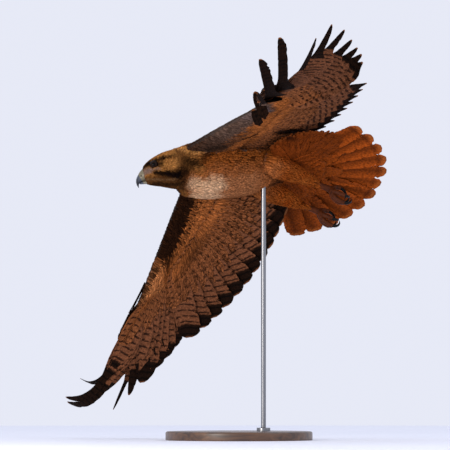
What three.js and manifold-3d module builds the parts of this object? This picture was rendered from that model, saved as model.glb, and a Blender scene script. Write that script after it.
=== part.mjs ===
// A red tailed hawk in banking flight, life size, held by one upright rod on a flat base.
// Millimetres, +Z up. The origin is the middle of the base's underside.
// The bird is modelled in its own frame (x to the bill, y to its left, z to its back),
// and one turned group sets that frame in its flying attitude above the base.
import * as THREE from "three";
import { mergeVertices } from "three/addons/utils/BufferGeometryUtils.js";
import Module from "manifold-3d";

const wasm = await Module();
wasm.setup();

const DEG = Math.PI / 180;
const v3 = (x, y, z) => new THREE.Vector3(x, y, z);

// Driving dimensions
const GAP = 0.3; // left between pieces that touch
const FLIGHT = { heading: 210.7, noseDown: 5.5, bank: 41 }; // degrees
const BIRD_AT = v3(0, 0, 534); // the bird frame's origin above the floor
const SHOULDER = v3(66, 50, 52); // left one; the right one mirrors it in y
const ARM = 220; // shoulder to wrist
const PRIMARIES = [205, 215, 225, 245, 280, 320, 345, 345, 320, 260]; // innermost first
const PRIMARY_ANGLES = [-72, -64, -56, -47, -38, -29, -20.5, -13, -6, 0]; // from the hand, degrees
const HAND_ROOTS = { first: 10, last: 95 }; // where the innermost and outermost primary root
const SECONDARIES = { count: 12, outer: 205, inner: 170, width: 50, ease: 0.9 };
const TERTIALS = { count: 3, outer: 150, inner: 105, width: 44 };
const COVERTS = { from: 20, over: 5, lift: 8, curl: 8 };
const ALULA = { count: 2, longest: 115, width: 21 };
const VANE = { edge: 0.6, shaft: 1.1 }; // thickness of a vane
const SHINGLE = { hand: 4, arm: 6, handStep: 0.7, armStep: 0.2 }; // roll in degrees, step in mm
const TAIL = { at: v3(-107, 0, 8), pitch: 19.7, yaw: 1.7, twist: 6.5, spread: [57, 62], count: 12,
  length: 212, outerShorter: 15, width: 46, step: 1.4 };

const STAND = { radius: 150, thick: 18, bevel: 4, rodAt: [50, 14], rodRadius: 5, collar: [14, 7] };

// Joint angles in degrees. A finger is [turn in the wing's plane, extra upward bend]. Front is
// how far the skin of the leading edge lies before the bones, at the shoulder and the wrist, and
// thick is half the wing's thickness there.
const WINGS = [
  { name: "left", side: 1, armDroop: 19.6, armSweep: -9.8, armTwist: 4.5, handDroop: 14.9,
    handSweep: 38.2, handTwist: -1, spread: 1.23, camber: 15.7, lift: -26.5, elbow: -93.6,
    fingers: { 10: [-0.6, 11.7], 9: [1.4, 26.7], 8: [1.5, 25.8], 7: [-1.1, 6.9], 6: [-0.4, 8.9] },
    front: [38, 22], thick: [18, 11] },
  { name: "right", side: -1, armDroop: 12.8, armSweep: 2.8, armTwist: 20.4, handDroop: 15.1,
    handSweep: 21.3, handTwist: 4, spread: 0.53, camber: -5.7, lift: 0.1, elbow: -87.1,
    fingers: { 10: [-7.6, 46.1], 9: [-0.2, 45.3], 8: [-0.8, 42.6], 7: [-5.3, 39.3], 6: [-5, 18.4] },
    front: [14, 26], thick: [14, 8.5] },
];

// Outlines of head, neck and body: [x or distance, top, bottom, half width]
const TRUNK = [
  [118, 86, -22, 46], [95, 91, -28, 51], [60, 92, -32, 55], [20, 88, -33, 56],
  [-20, 78, -32, 54], [-60, 68, -27, 48], [-92, 57, -21, 42],
];
const RUMP = [[-92, 57, -21, 42], [-115, 42, -18, 37], [-135, 26, -16, 29], [-155, 10, -14, 16]];
const HEAD_AT = v3(174, 11, 35);
const HEAD_LOOK = { heading: 180, noseDown: 14 }; // the head is level, turned off the body's line
const HEAD = [
  [-30, 35, -49, 36], [-15, 34.5, -43, 33], [0, 31.5, -36.5, 30], [10, 28.5, -32, 28],
  [20, 24.5, -28.5, 23.5], [30, 18.5, -24, 17.5], [37, 12, -20.5, 12.5],
];
const EYE = { at: v3(10.3, 18.6, 14), r: 8.6, visible: 6.8, depth: 5.2 };
const BILL = { face: 37, mouth: -13.4, gape: 13 };

// Rotations shared by the groups and by what is placed across them
const attitude = new THREE.Euler(FLIGHT.bank * DEG, FLIGHT.noseDown * DEG, FLIGHT.heading * DEG, "ZYX");
const headTurn = new THREE.Euler(0, HEAD_LOOK.noseDown * DEG, HEAD_LOOK.heading * DEG, "ZYX");
const birdFrame = new THREE.Matrix4().makeRotationFromEuler(attitude);
const headFrame = new THREE.Matrix4().copy(birdFrame).invert()
  .multiply(new THREE.Matrix4().makeRotationFromEuler(headTurn)).setPosition(HEAD_AT);

const mix = THREE.MathUtils.lerp;
const mixed = (a, b, t) => a.clone().lerp(b, t);
const along = (a, dir, t) => a.clone().addScaledVector(dir, t);
const turned = (a, b, angle) => a.clone().multiplyScalar(Math.cos(angle))
  .addScaledVector(b, Math.sin(angle));

// A closed skin over rings of equal point counts, capped by a fan at each end
function loft(rings) {
  const n = rings[0].length;
  const points = rings.flat();
  const faces = [];
  for (let j = 0; j + 1 < rings.length; j++)
    for (let i = 0; i < n; i++) {
      const [a, b] = [j * n + i, j * n + (i + 1) % n];
      faces.push(a, b, b + n, a, b + n, a + n);
    }
  for (const [ring, base] of [[rings[0], 0], [rings.at(-1), (rings.length - 1) * n]]) {
    const hub = points.push(ring.reduce((s, p) => s.add(p), v3(0, 0, 0)).divideScalar(n)) - 1;
    for (let i = 0; i < n; i++) {
      const pair = [base + i, base + (i + 1) % n];
      faces.push(hub, ...(base ? pair : pair.reverse()));
    }
  }
  return facingOut(points, faces);
}

// The geometry of points and triangles, turned round if it encloses a negative volume
function facingOut(points, faces) {
  let volume = 0;
  for (let i = 0; i < faces.length; i += 3) {
    const [a, b, c] = [points[faces[i]], points[faces[i + 1]], points[faces[i + 2]]];
    volume += a.dot(b.clone().cross(c));
  }
  const g = new THREE.BufferGeometry().setFromPoints(points);
  g.setIndex(volume < 0 ? faces.reverse() : faces);
  return g;
}

function solid(geometry) {
  const bare = geometry.clone();
  bare.deleteAttribute("normal");
  bare.deleteAttribute("uv");
  const g = mergeVertices(bare, 1e-4);
  return new wasm.Manifold(new wasm.Mesh({
    numProp: 3,
    vertProperties: g.attributes.position.array,
    triVerts: new Uint32Array(g.index.array),
  }));
}

// The pieces joined into one body, less the cuts and what lies behind each plane, of which
// only the largest closed surface is kept. A plane is [point, normal to the kept side].
function joined(pieces, cuts = [], planes = []) {
  let body = wasm.Manifold.union(pieces.map(solid));
  for (const cut of cuts) body = body.subtract(cut);
  for (const [point, normal] of planes) body = body.trimByPlane(normal.toArray(), point.dot(normal));
  const shells = body.simplify(0.05).decompose();
  const mesh = shells.sort((a, b) => b.volume() - a.volume())[0].getMesh();
  const g = new THREE.BufferGeometry();
  g.setAttribute("position", new THREE.BufferAttribute(mesh.vertProperties, 3));
  g.setIndex(new THREE.BufferAttribute(mesh.triVerts, 1));
  return g;
}

// A smooth run of stations [distance, top, bottom, half width] with in-between ones worked out
function stations(list, perSpan) {
  const curve = new THREE.CatmullRomCurve3(list.map(([x, , , w]) => v3(x, w, 0)));
  const sides = new THREE.CatmullRomCurve3(list.map(([, top, bottom]) => v3(top, bottom, 0)));
  const spans = list.length - 1;
  return Array.from({ length: spans * perSpan + 1 }, (_, k) => {
    const [p, q] = [curve.getPoint(k / (spans * perSpan)), sides.getPoint(k / (spans * perSpan))];
    return [p.x, q.x, q.y, p.y];
  });
}

// The oval ring of one station across the x axis, grown by a margin
const OVAL = 22;
function oval([x, top, bottom, half], margin = 0) {
  return Array.from({ length: OVAL }, (_, i) => {
    const a = (2 * Math.PI * i) / OVAL;
    const z = (top + bottom) / 2 + ((top - bottom) / 2 + margin) * Math.sin(a);
    return v3(x, (half + margin) * Math.cos(a), z);
  });
}

const part = new THREE.Group();
const bird = new THREE.Group();
bird.position.copy(BIRD_AT);
bird.rotation.copy(attitude);
part.add(bird);
const head = new THREE.Group();
head.applyMatrix4(headFrame);
bird.add(head);

const FINISH = {
  plumage: { color: 0x8a6238, roughness: 0.85 },
  belly: { color: 0xb98a58, roughness: 0.85 },
  flight: { color: 0x6b5444, roughness: 0.75 },
  tail: { color: 0xb5622c, roughness: 0.75 },
  horn: { color: 0x23242a, roughness: 0.35 },
  foot: { color: 0x9a8140, roughness: 0.6 },
  eye: { color: 0x2a1608, roughness: 0.08 },
  rod: { color: 0x8d9094, roughness: 0.35, metalness: 0.9 },
  base: { color: 0x3a2b20, roughness: 0.5 },
};

function place(group, name, geometry, finish) {
  const mesh = new THREE.Mesh(geometry, new THREE.MeshStandardMaterial(FINISH[finish]));
  mesh.name = name;
  group.add(mesh);
}

// Torso, and the same shape grown by the gap, which parts wings, legs and rod from it
const trunk = stations(TRUNK, 2);
place(bird, "torso", loft(trunk.map((s) => oval(s))), "belly");
const trunkCut = solid(loft(stations([...TRUNK.slice(0, -1), ...RUMP], 2).map((s) => oval(s, GAP))));

// Neck: from the torso's front ring to the head's back ring
function headRing(station, margin = 0) {
  return oval(station, margin).map((p) => p.applyMatrix4(headFrame));
}
const throat = oval([TRUNK[0][0] + GAP, ...TRUNK[0].slice(1)]);
const nape = headRing([HEAD[0][0] - GAP, ...HEAD[0].slice(1)]);
const neckAxis = v3(1, 0, 0);
const lookAxis = v3(1, 0, 0).transformDirection(headFrame);
const NECK_STEPS = 5;
const neckRings = Array.from({ length: NECK_STEPS + 1 }, (_, k) => {
  const t = k / NECK_STEPS;
  return throat.map((p, i) => {
    const span = p.distanceTo(nape[i]);
    const curve = new THREE.CubicBezierCurve3(p, along(p, neckAxis, span / 3),
      along(nape[i], lookAxis, -span / 3), nape[i]);
    return curve.getPoint(t);
  });
});
place(bird, "neck", loft(neckRings), "plumage");

// A round tube through points, with a radius at each, its rings square to the run
function tube(points, radii, sides) {
  const curve = new THREE.CatmullRomCurve3(points);
  const across = v3(0, 1, 0);
  const rings = points.map((p, k) => {
    const t = curve.getTangent(k / (points.length - 1));
    const a = across.clone().addScaledVector(t, -across.dot(t)).normalize();
    const b = t.clone().cross(a);
    return Array.from({ length: sides }, (_, i) => {
      const angle = (2 * Math.PI * i) / sides;
      return along(along(p, a, radii[k] * Math.cos(angle)), b, radii[k] * Math.sin(angle));
    });
  });
  return loft(rings);
}

// Feathered thighs, and the same shapes grown by the gap, which part the wings from them
const THIGH = [[-50, 31, 10, 25], [-80, 35, -12, 24], [-108, 36, -34, 19], [-130, 36, -53, 12]];
const ANKLE = v3(-140, 35, -62);
const mirrored = (p, side) => v3(p.x, side * p.y, p.z);
function thigh(side, margin = 0) {
  const run = THIGH.map(([x, y, z]) => v3(x, y, z));
  const end = along(ANKLE, ANKLE.clone().sub(run.at(-1)).normalize(), margin);
  return tube([...run, end].map((p) => mirrored(p, side)), [...THIGH.map((t) => t[3] + margin), 9 + margin], 14);
}
const thighCuts = [1, -1].map((side) => solid(thigh(side, GAP)));

// Points and directions along a shaft, which lifts, curls and bends out of its wing's plane
const FINGER_AT = [0, 0.22, 0.45, 0.66, 0.86, 1]; // where a long vane has its rings
const FLIGHT_AT = [0, 0.3, 0.62, 0.88, 1];
const COVERT_AT = [0, 0.45, 0.85, 1];
const BEND = [0.3, 0.8]; // the part of a finger over which it bends upwards
function shaftPoints({ root, dir, up, length, at = FLIGHT_AT, lift = 0, curl = 0, bend = 0 }) {
  const heading = (u) => turned(dir, up, lift + curl * u ** 1.5
    + bend * THREE.MathUtils.smoothstep(u, ...BEND));
  const fine = 6;
  const p = root.clone();
  const points = [p.clone()];
  for (let j = 0; j + 1 < at.length; j++) {
    for (let i = 0; i < fine; i++) {
      const u = mix(at[j], at[j + 1], (i + 0.5) / fine);
      p.addScaledVector(heading(u), (length * (at[j + 1] - at[j])) / fine);
    }
    points.push(p.clone());
  }
  return { points, tangents: at.map(heading) };
}

// Width of the vane along the shaft: a quill, a full blade and a rounded tip
function vaneWidth(u, notch, slow) {
  const quill = THREE.MathUtils.smoothstep(u, 0.02, slow);
  const tip = Math.sqrt(Math.max(0, 1 - THREE.MathUtils.clamp((u - 0.76) / 0.26, 0, 1) ** 2));
  const finger = 1 - notch * THREE.MathUtils.smoothstep(u, 0.42, 0.62);
  return (0.2 + 0.8 * quill) * tip * finger;
}

// One vane along its shaft. Both faces of the blade are split into triangles alike.
function vane(spec) {
  const { up, width, roll = 0, fore = 0.3, notch = 0, level = 0, lead, slow = 0.3 } = spec;
  const { at = FLIGHT_AT } = spec;
  const { points, tangents } = shaftPoints(spec);
  const rings = points.map((p, j) => {
    const tangent = tangents[j];
    const across = lead.clone().addScaledVector(tangent, -lead.dot(tangent)).normalize();
    const rise = across.clone().cross(tangent);
    if (rise.dot(up) < 0) rise.negate();
    const [b, n] = [turned(across, rise, roll), turned(rise, across, -roll)];
    const w = width * vaneWidth(at[j], notch, slow);
    const q = along(p, rise, level);
    const edges = [[w * fore, VANE.edge], [0, VANE.shaft], [-w * (1 - fore), VANE.edge]];
    const faces = edges.map(([s, h]) => [1, -1].map((f) => along(along(q, b, s), n, (f * h) / 2)));
    return [faces[0][0], faces[1][0], faces[2][0], faces[2][1], faces[1][1], faces[0][1]];
  });
  return blade(rings);
}

// A thin body over rings whose first half runs along its upper face and the rest comes back
function blade(rings) {
  const m = rings[0].length / 2;
  const points = rings.flat();
  const at = (j, i) => j * 2 * m + i;
  const under = (j, i) => at(j, 2 * m - 1 - i);
  const faces = [];
  for (let j = 0; j + 1 < rings.length; j++) {
    for (let i = 0; i + 1 < m; i++) {
      faces.push(at(j, i), at(j, i + 1), at(j + 1, i + 1), at(j, i), at(j + 1, i + 1), at(j + 1, i));
      faces.push(under(j, i), under(j + 1, i + 1), under(j, i + 1));
      faces.push(under(j, i), under(j + 1, i), under(j + 1, i + 1));
    }
    for (const [p, q] of [[m - 1, m], [2 * m - 1, 0]])
      faces.push(at(j, p), at(j, q), at(j + 1, q), at(j, p), at(j + 1, q), at(j + 1, p));
  }
  const last = rings.length - 1;
  for (let i = 0; i + 1 < m; i++) {
    faces.push(at(0, i), under(0, i), under(0, i + 1), at(0, i), under(0, i + 1), at(0, i + 1));
    faces.push(at(last, i), under(last, i + 1), under(last, i));
    faces.push(at(last, i), at(last, i + 1), under(last, i + 1));
  }
  return facingOut(points, faces);
}

// Directions of an arm or hand: outward along the bone, forward chord and back's normal
function limbAxes(side, droop, sweep, twist) {
  const [d, s, w] = [droop * DEG, sweep * DEG, twist * DEG];
  const out = v3(Math.cos(d) * Math.sin(s), side * Math.cos(d) * Math.cos(s), -Math.sin(d));
  const chord = v3(1, 0, 0).addScaledVector(out, -out.x).normalize();
  const up = chord.clone().cross(out).multiplyScalar(side).normalize();
  return { out, chord: turned(chord, up, w), up: turned(up, chord, -w) };
}

// Everything that both nodes of a wing share: joints, axes and the row of flight feathers
function wingPlan(wing) {
  const { side } = wing;
  const arm = limbAxes(side, wing.armDroop, wing.armSweep, wing.armTwist);
  const hand = limbAxes(side, wing.handDroop, wing.handSweep, wing.handTwist);
  const shoulder = v3(SHOULDER.x, side * SHOULDER.y, SHOULDER.z);
  const wrist = along(shoulder, arm.out, ARM);
  const primaries = PRIMARIES.map((length, k) => {
    const [turn, bend] = wing.fingers[k + 1] ?? [0, 0];
    const lift = wing.lift * Math.max(0, k - 4) / 5;
    const angle = (PRIMARY_ANGLES[k] * wing.spread + turn) * DEG;
    return {
      root: along(wrist, hand.out, mix(HAND_ROOTS.first, HAND_ROOTS.last, k / 9)),
      dir: turned(hand.out, hand.chord, angle), up: hand.up, lead: hand.chord,
      length, lift: lift * DEG, curl: wing.camber * DEG, bend: bend * DEG,
      width: 56 - 1.5 * Math.abs(k - 4), notch: k >= 5 ? 0.55 : 0, fore: k >= 5 ? 0.24 : 0.36,
      at: k >= 5 ? FINGER_AT : FLIGHT_AT,
      roll: SHINGLE.hand * DEG, level: (4.5 - k) * SHINGLE.handStep,
    };
  });
  const inner = turned(arm.out, arm.chord, wing.elbow * DEG);
  const secondaries = Array.from({ length: SECONDARIES.count }, (_, j) => {
    const f = (j + 0.5) / SECONDARIES.count;
    const w = ((j + 1) / SECONDARIES.count) ** SECONDARIES.ease;
    const dir = mixed(primaries[0].dir, inner, w).normalize();
    const up = mixed(hand.up, arm.up, w);
    up.addScaledVector(dir, -up.dot(dir)).normalize();
    return {
      root: along(along(wrist, arm.out, -(0.04 + 0.84 * f) * ARM), arm.chord, -5 - 38 * f),
      dir, up, lead: arm.out, length: mix(SECONDARIES.outer, SECONDARIES.inner, f), curl: -4.6 * DEG,
      width: SECONDARIES.width, fore: 0.36, roll: SHINGLE.arm * DEG,
      level: SHINGLE.armStep * (j - 8),
    };
  });
  const crease = primaries[0].dir.clone().add(secondaries[0].dir).normalize();
  return { ...wing, arm, hand, shoulder, wrist, primaries, secondaries, inner, crease };
}

// A wing's cross-section: rounded leading edge, thickest a fifth back, blunt rear
const SECTION = [
  [-1, 0], [-0.6, 0.62], [0, 0.95], [0.3, 1], [0.66, 0.78], [1, 0.5],
  [1, -0.5], [0.66, -0.78], [0.3, -1], [0, -0.95], [-0.6, -0.62],
];
function section(at, ahead, back, up, front, chord, thick) {
  return SECTION.map(([c, h]) => {
    const edge = c < 0 ? along(at, ahead, -c * front) : along(at, back, c * chord);
    return along(edge, up, h * thick);
  });
}

// Flesh and skin of the arm and of the hand. Both run past the wrist, where a plane parts them.
const PAST_WRIST = 0.1;
function armRings({ arm, hand, front, thick, shoulder, crease }) {
  const steps = 7;
  return Array.from({ length: steps + 1 }, (_, k) => {
    const f = mix(-0.1, 1 + PAST_WRIST, k / steps);
    const bent = THREE.MathUtils.smoothstep(f, 0.3, 1);
    const back = mixed(arm.chord.clone().negate(), crease, bent).normalize();
    const ahead = mixed(arm.chord, hand.chord, bent / 2).normalize();
    const at = along(shoulder, arm.out, f * ARM);
    return section(at, ahead, back, arm.up, mix(...front, f), mix(78, 62, f), mix(...thick, f));
  });
}

function handRings({ arm, hand, front, thick, wrist, crease, primaries }) {
  const steps = 5;
  return Array.from({ length: steps + 1 }, (_, k) => {
    const f = mix(-PAST_WRIST * 2, 1, k / steps);
    const g = Math.max(0, f);
    const back = mixed(crease, primaries[6].dir, g * 0.8).normalize();
    const ahead = mixed(arm.chord, hand.chord, (1 + g) / 2).normalize();
    const up = mixed(arm.up, hand.up, Math.min(1, 0.5 + g)).normalize();
    const at = along(wrist, hand.out, f * 118);
    return section(at, ahead, back, up, mix(front[1], 4, g), mix(62, 26, g), mix(thick[1], 3.2, g ** 1.4));
  });
}

// Coverts: short vanes over the roots of a row of flight feathers, on one face of the wing
function coverts(row, face, every, length, width) {
  return row.filter((_, k) => k % every === 1).map((feather) => {
    const start = along(along(feather.root, feather.dir, COVERTS.from), feather.up, face * COVERTS.over);
    return vane({ ...feather, root: start, level: 0, length, width, notch: 0, bend: 0, at: COVERT_AT,
      lift: (feather.lift ?? 0) + face * COVERTS.lift * DEG, curl: -face * COVERTS.curl * DEG });
  });
}

function buildWing(wing) {
  const plan = wingPlan(wing);
  const { arm, hand, inner, wrist } = plan;
  const last = plan.secondaries.at(-1);
  const tertials = Array.from({ length: TERTIALS.count }, (_, k) => {
    const f = (k + 1) / TERTIALS.count;
    return { ...last, root: along(last.root, arm.out, -14 * (k + 1)),
      dir: mixed(inner, v3(-1, 0, 0), f * 0.6).normalize(), length: mix(TERTIALS.outer, TERTIALS.inner, f),
      width: TERTIALS.width, level: last.level + SHINGLE.armStep * (k + 1) };
  });
  const alula = Array.from({ length: ALULA.count }, (_, k) => ({
    root: along(along(wrist, hand.out, 22 + 5 * k), hand.up, 2 * k),
    dir: turned(hand.out, hand.chord, (2 - 7 * k) * DEG), up: hand.up, lead: hand.chord,
    length: ALULA.longest * (1 - 0.2 * k), width: ALULA.width, lift: 4 * DEG, roll: 10 * DEG,
    at: COVERT_AT,
  }));
  // The two nodes part at a plane through the wrist that runs back along the wing's crease
  const past = plan.crease.clone().cross(arm.up).normalize();
  if (past.dot(arm.out) < 0) past.negate();
  const armEnd = [along(wrist, past, -GAP / 2), past.clone().negate()];
  const handStart = [along(wrist, past, GAP / 2), past];
  const armRow = [...plan.secondaries, ...tertials];
  const armVanes = [...armRow.map(vane), ...coverts(armRow, 1, 3, 104, 56), ...coverts(armRow, -1, 3, 96, 56)];
  const handVanes = [...plan.primaries.map(vane), ...alula.map(vane),
    ...coverts(plan.primaries, 1, 5, 98, 56), ...coverts(plan.primaries, -1, 5, 90, 56)];
  place(bird, `wing_${wing.name}_arm`, joined([loft(armRings(plan)), ...armVanes], [trunkCut, ...thighCuts], [armEnd]),
    "flight");
  place(bird, `wing_${wing.name}_hand`, joined([loft(handRings(plan)), ...handVanes], [], [handStart]), "flight");
}
for (const wing of WINGS) buildWing(wing);


// Tail: the rump with its fan of rectrices, the middle ones lying on top
function buildTail() {
  const [pitch, yaw, twist] = [TAIL.pitch, TAIL.yaw, TAIL.twist].map((a) => a * DEG);
  const back = v3(-Math.cos(pitch) * Math.cos(yaw), -Math.cos(pitch) * Math.sin(yaw), -Math.sin(pitch));
  const level = v3(0, 1, 0).addScaledVector(back, -back.y).normalize();
  const left = turned(level, level.clone().cross(back), -twist);
  const up = left.clone().cross(back);
  const middle = (TAIL.count - 1) / 2;
  const row = Array.from({ length: TAIL.count }, (_, i) => {
    const f = (i - middle) / middle;
    const side = Math.sign(f);
    return {
      root: along(TAIL.at, left, f * 20), up,
      dir: turned(back, left, f * TAIL.spread[f < 0 ? 0 : 1] * DEG),
      lead: left.clone().multiplyScalar(side), length: TAIL.length - TAIL.outerShorter * f * f,
      width: TAIL.width, fore: 0.42, curl: -3 * DEG, slow: 0.45, at: FLIGHT_AT,
      level: 4 - TAIL.step * Math.abs(i - middle - 0.25),
    };
  });
  const short = (face, length) => row.filter((_, i) => i % 3 === 1).map((feather) =>
    vane({ ...feather, root: along(feather.root, up, face * 9 + 1), level: feather.level / 3, length,
      width: 52, curl: -face * 4 * DEG, at: COVERT_AT }));
  const rump = loft(stations([[TRUNK.at(-1)[0] - GAP, ...TRUNK.at(-1).slice(1)], ...RUMP.slice(1)], 2)
    .map((s) => oval(s)));
  place(bird, "tail", joined([rump, ...row.map(vane), ...short(1, 96), ...short(-1, 104)], thighCuts), "tail");
}
buildTail();

// Bare tarsi, and toes half closed as a trailing fist
const FOOT = v3(-168, 35, -82);
const TOES = [
  { name: "inner", fan: -34, length: 36, talon: 27, front: 1 },
  { name: "middle", fan: 2, length: 44, talon: 25, front: 1 },
  { name: "outer", fan: 40, length: 38, talon: 21, front: 1 },
  { name: "hind", fan: 6, length: 24, talon: 30, front: -1 },
];
const TOE_SIDES = 6;
const TOE_RADII = [6.2, 5.1, 4.5, 4.2];
const TALON_RADII = [3.6, 3.3, 2.6, 1.7, 0.5];
const SHEATH = 1.5; // how far a talon's root sits in the end of its toe

// Points along an arc that starts along dir and turns towards the sole
function arc(start, dir, sole, length, from, to, count) {
  const points = [start.clone()];
  for (let k = 1; k < count; k++) {
    const angle = mix(from, to, (k - 0.5) / (count - 1));
    points.push(along(points.at(-1), turned(dir, sole, angle), length / (count - 1)));
  }
  return points;
}

function buildLeg(side, name) {
  place(bird, `leg_${name}`, joined([thigh(side)], [trunkCut]), "belly");
  const down = FOOT.clone().sub(ANKLE).normalize();
  const forward = v3(0, 1, 0).cross(down).multiplyScalar(-1).normalize();
  const [ankle, foot] = [mirrored(ANKLE, side), mirrored(FOOT, side)];
  const tarsus = tube([along(ankle, down, -4), foot, along(foot, down, 6)], [6.5, 6.5, 5.5], 10);
  const pieces = [tarsus];
  const sheaths = [];
  for (const toe of TOES) {
    const lateral = v3(0, side * Math.sin(toe.fan * DEG), 0);
    const out = forward.clone().multiplyScalar(toe.front * Math.cos(toe.fan * DEG)).add(lateral);
    const path = arc(foot, out.normalize(), down, toe.length, 15 * DEG, 72 * DEG, TOE_RADII.length);
    pieces.push(tube(path, TOE_RADII, TOE_SIDES));
    const end = path.at(-1);
    const heading = turned(out, down, 55 * DEG);
    const under = turned(down, out, -55 * DEG);
    const claw = arc(along(end, heading, -SHEATH), heading, under, toe.talon, 5 * DEG, 85 * DEG, 5);
    place(bird, `talon_${name}_${toe.name}`, tube(claw, TALON_RADII, TOE_SIDES), "horn");
    const grown = [along(claw[0], heading, -GAP), ...claw.slice(1)];
    sheaths.push(solid(tube(grown, TALON_RADII.map((r) => r + GAP), TOE_SIDES)));
  }
  place(bird, `foot_${name}`, joined(pieces, [...thighCuts, ...sheaths]), "foot");
}
buildLeg(1, "left");
buildLeg(-1, "right");

// Head with brows, lids, eye sockets and the line of the mouth
function ball(at, r, scale = v3(1, 1, 1), detail = 12) {
  const g = new THREE.SphereGeometry(r, detail, Math.round(detail * 0.7));
  return g.applyMatrix4(new THREE.Matrix4().makeScale(...scale.toArray()).setPosition(at));
}

function buildHead() {
  const rings = stations(HEAD, 2);
  const pieces = [loft(rings.map((s) => oval(s)))];
  const cuts = [];
  for (const [side, name] of [[1, "left"], [-1, "right"]]) {
    const at = v3(EYE.at.x, side * EYE.at.y, EYE.at.z);
    const outward = v3(0.12, side, 0.1).normalize();
    const lid = new THREE.TorusGeometry(EYE.visible + 0.8, 1.7, 5, 16);
    lid.lookAt(outward);
    lid.translate(...along(at, outward, EYE.depth - 0.6).toArray());
    pieces.push(lid);
    const brow = new THREE.SphereGeometry(1, 10, 6).scale(13, 4.4, 2.6).rotateZ(-side * 0.36);
    pieces.push(brow.rotateY(0.3).translate(EYE.at.x + 1, side * (EYE.at.y + 4.2), EYE.at.z + 8.2));
    cuts.push(solid(ball(at, EYE.r + GAP, v3(1, 1, 1), 13)));
    place(head, `eye_${name}`, ball(at, EYE.r, v3(1, 1, 1), 13), "eye");
  }
  const slot = new THREE.BoxGeometry(BILL.face + 2 - BILL.gape, 70, 1.1);
  slot.translate((BILL.face + 2 + BILL.gape) / 2, 0, BILL.mouth);
  cuts.push(solid(slot).subtract(solid(loft(rings.map((s) => oval([s[0] + 1, ...s.slice(1)], -1.2))))));
  place(head, "head", joined(pieces, cuts), "plumage");
}
buildHead();

// Bill: the hooked upper half with its cere and nostrils, and the shorter lower half
const UPPER_BILL = [ // [culmen x, z, cutting edge x, z, half width]
  [37, 10.5, 37, -13.1, 10.5], [43, 6.2, 41, -13.4, 9.3], [48.5, 0.2, 44.8, -14, 7.6],
  [52.5, -5, 47.6, -15, 5.9], [54.8, -11.5, 49.8, -17, 4.1], [54.8, -18, 51.3, -20.5, 2.6],
  [53, -24, 51.8, -24.3, 1],
];
const LOWER_BILL = [
  [37, -13.6, 37, -20.3, 9], [42, -14.1, 42, -19.4, 7], [46, -15.1, 46, -18.6, 4.6],
  [48.2, -16.6, 48.2, -17.8, 2.2],
];
function billRings(list) {
  return list.map(([cx, cz, tx, tz, half], k) => {
    const shift = k ? 0 : GAP;
    return Array.from({ length: 12 }, (_, i) => {
      const a = (2 * Math.PI * (i + 0.5)) / 12;
      const t = (1 + Math.sin(a)) / 2;
      return v3(mix(tx, cx, t) + shift, half * Math.cos(a) * (1.08 - 0.2 * t), mix(tz, cz, t));
    });
  });
}
const nostrils = [1, -1].map((side) => solid(ball(v3(42, side * 8.2, -1), 1.6, v3(0.9, 1, 1.3), 8)));
place(head, "bill_upper", joined([loft(billRings(UPPER_BILL))], nostrils), "horn");
place(head, "bill_lower", loft(billRings(LOWER_BILL)), "horn");

// Stand: a round base and a rod whose top is cut to the belly
function circle(z, r, at = [0, 0], n = 32) {
  return Array.from({ length: n }, (_, i) => {
    const a = (2 * Math.PI * i) / n;
    return v3(at[0] + r * Math.cos(a), at[1] + r * Math.sin(a), z);
  });
}
place(part, "stand_base", loft([circle(0, STAND.radius), circle(STAND.thick - STAND.bevel, STAND.radius),
  circle(STAND.thick, STAND.radius - STAND.bevel)]), "base");
const [collarRadius, collarHeight] = STAND.collar;
const rodFoot = STAND.thick + GAP;
const rodRings = [[rodFoot, collarRadius], [rodFoot + collarHeight - 1, collarRadius],
  [rodFoot + collarHeight, collarRadius - 1], [rodFoot + collarHeight, STAND.rodRadius],
  [BIRD_AT.z + 15, STAND.rodRadius]].map(([z, r]) => circle(z, r, STAND.rodAt, 16));
const standing = birdFrame.clone().setPosition(BIRD_AT);
place(part, "stand_rod", joined([loft(rodRings)], [trunkCut.transform(standing.elements)]), "rod");

export default part;
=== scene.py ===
# A red tailed hawk in banking flight, life size, held by one upright rod on a round base.
# Shapes are worked out in millimetres in the bird's own frame (x to the bill, y to its left,
# z to its back) and turned into the row frame, in metres, as each mesh is made.
import math
import bmesh
import bpy
import numpy as np
from mathutils import Matrix, Vector, kdtree


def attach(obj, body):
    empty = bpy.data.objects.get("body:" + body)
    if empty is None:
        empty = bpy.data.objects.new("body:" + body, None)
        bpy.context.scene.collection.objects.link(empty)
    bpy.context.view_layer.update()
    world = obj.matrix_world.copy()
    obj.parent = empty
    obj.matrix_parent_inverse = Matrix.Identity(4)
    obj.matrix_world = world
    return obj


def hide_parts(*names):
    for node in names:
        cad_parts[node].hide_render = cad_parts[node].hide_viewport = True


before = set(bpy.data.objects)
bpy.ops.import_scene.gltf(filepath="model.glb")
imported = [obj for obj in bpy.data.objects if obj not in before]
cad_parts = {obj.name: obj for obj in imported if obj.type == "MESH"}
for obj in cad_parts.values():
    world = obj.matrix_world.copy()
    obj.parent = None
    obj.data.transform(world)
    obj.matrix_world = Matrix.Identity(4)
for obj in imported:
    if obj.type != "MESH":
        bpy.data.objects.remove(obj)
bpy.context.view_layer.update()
rng = np.random.default_rng(2024)

# Attitude of the bird and of its head, as in the solids
FLIGHT = {"heading": 210.7, "nose_down": 5.5, "bank": 41}
BIRD_AT = np.array([0, 0, 534.0])
HEAD_AT = np.array([174, 11, 35.0])
HEAD_LOOK = {"heading": 180, "nose_down": 14}


def turn(axis, degrees):
    c, s = math.cos(math.radians(degrees)), math.sin(math.radians(degrees))
    a, b = [(1, 2), (2, 0), (0, 1)]["xyz".index(axis)]
    m = np.eye(3)
    m[a, a] = m[b, b] = c
    m[b, a], m[a, b] = s, -s
    return m


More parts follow.
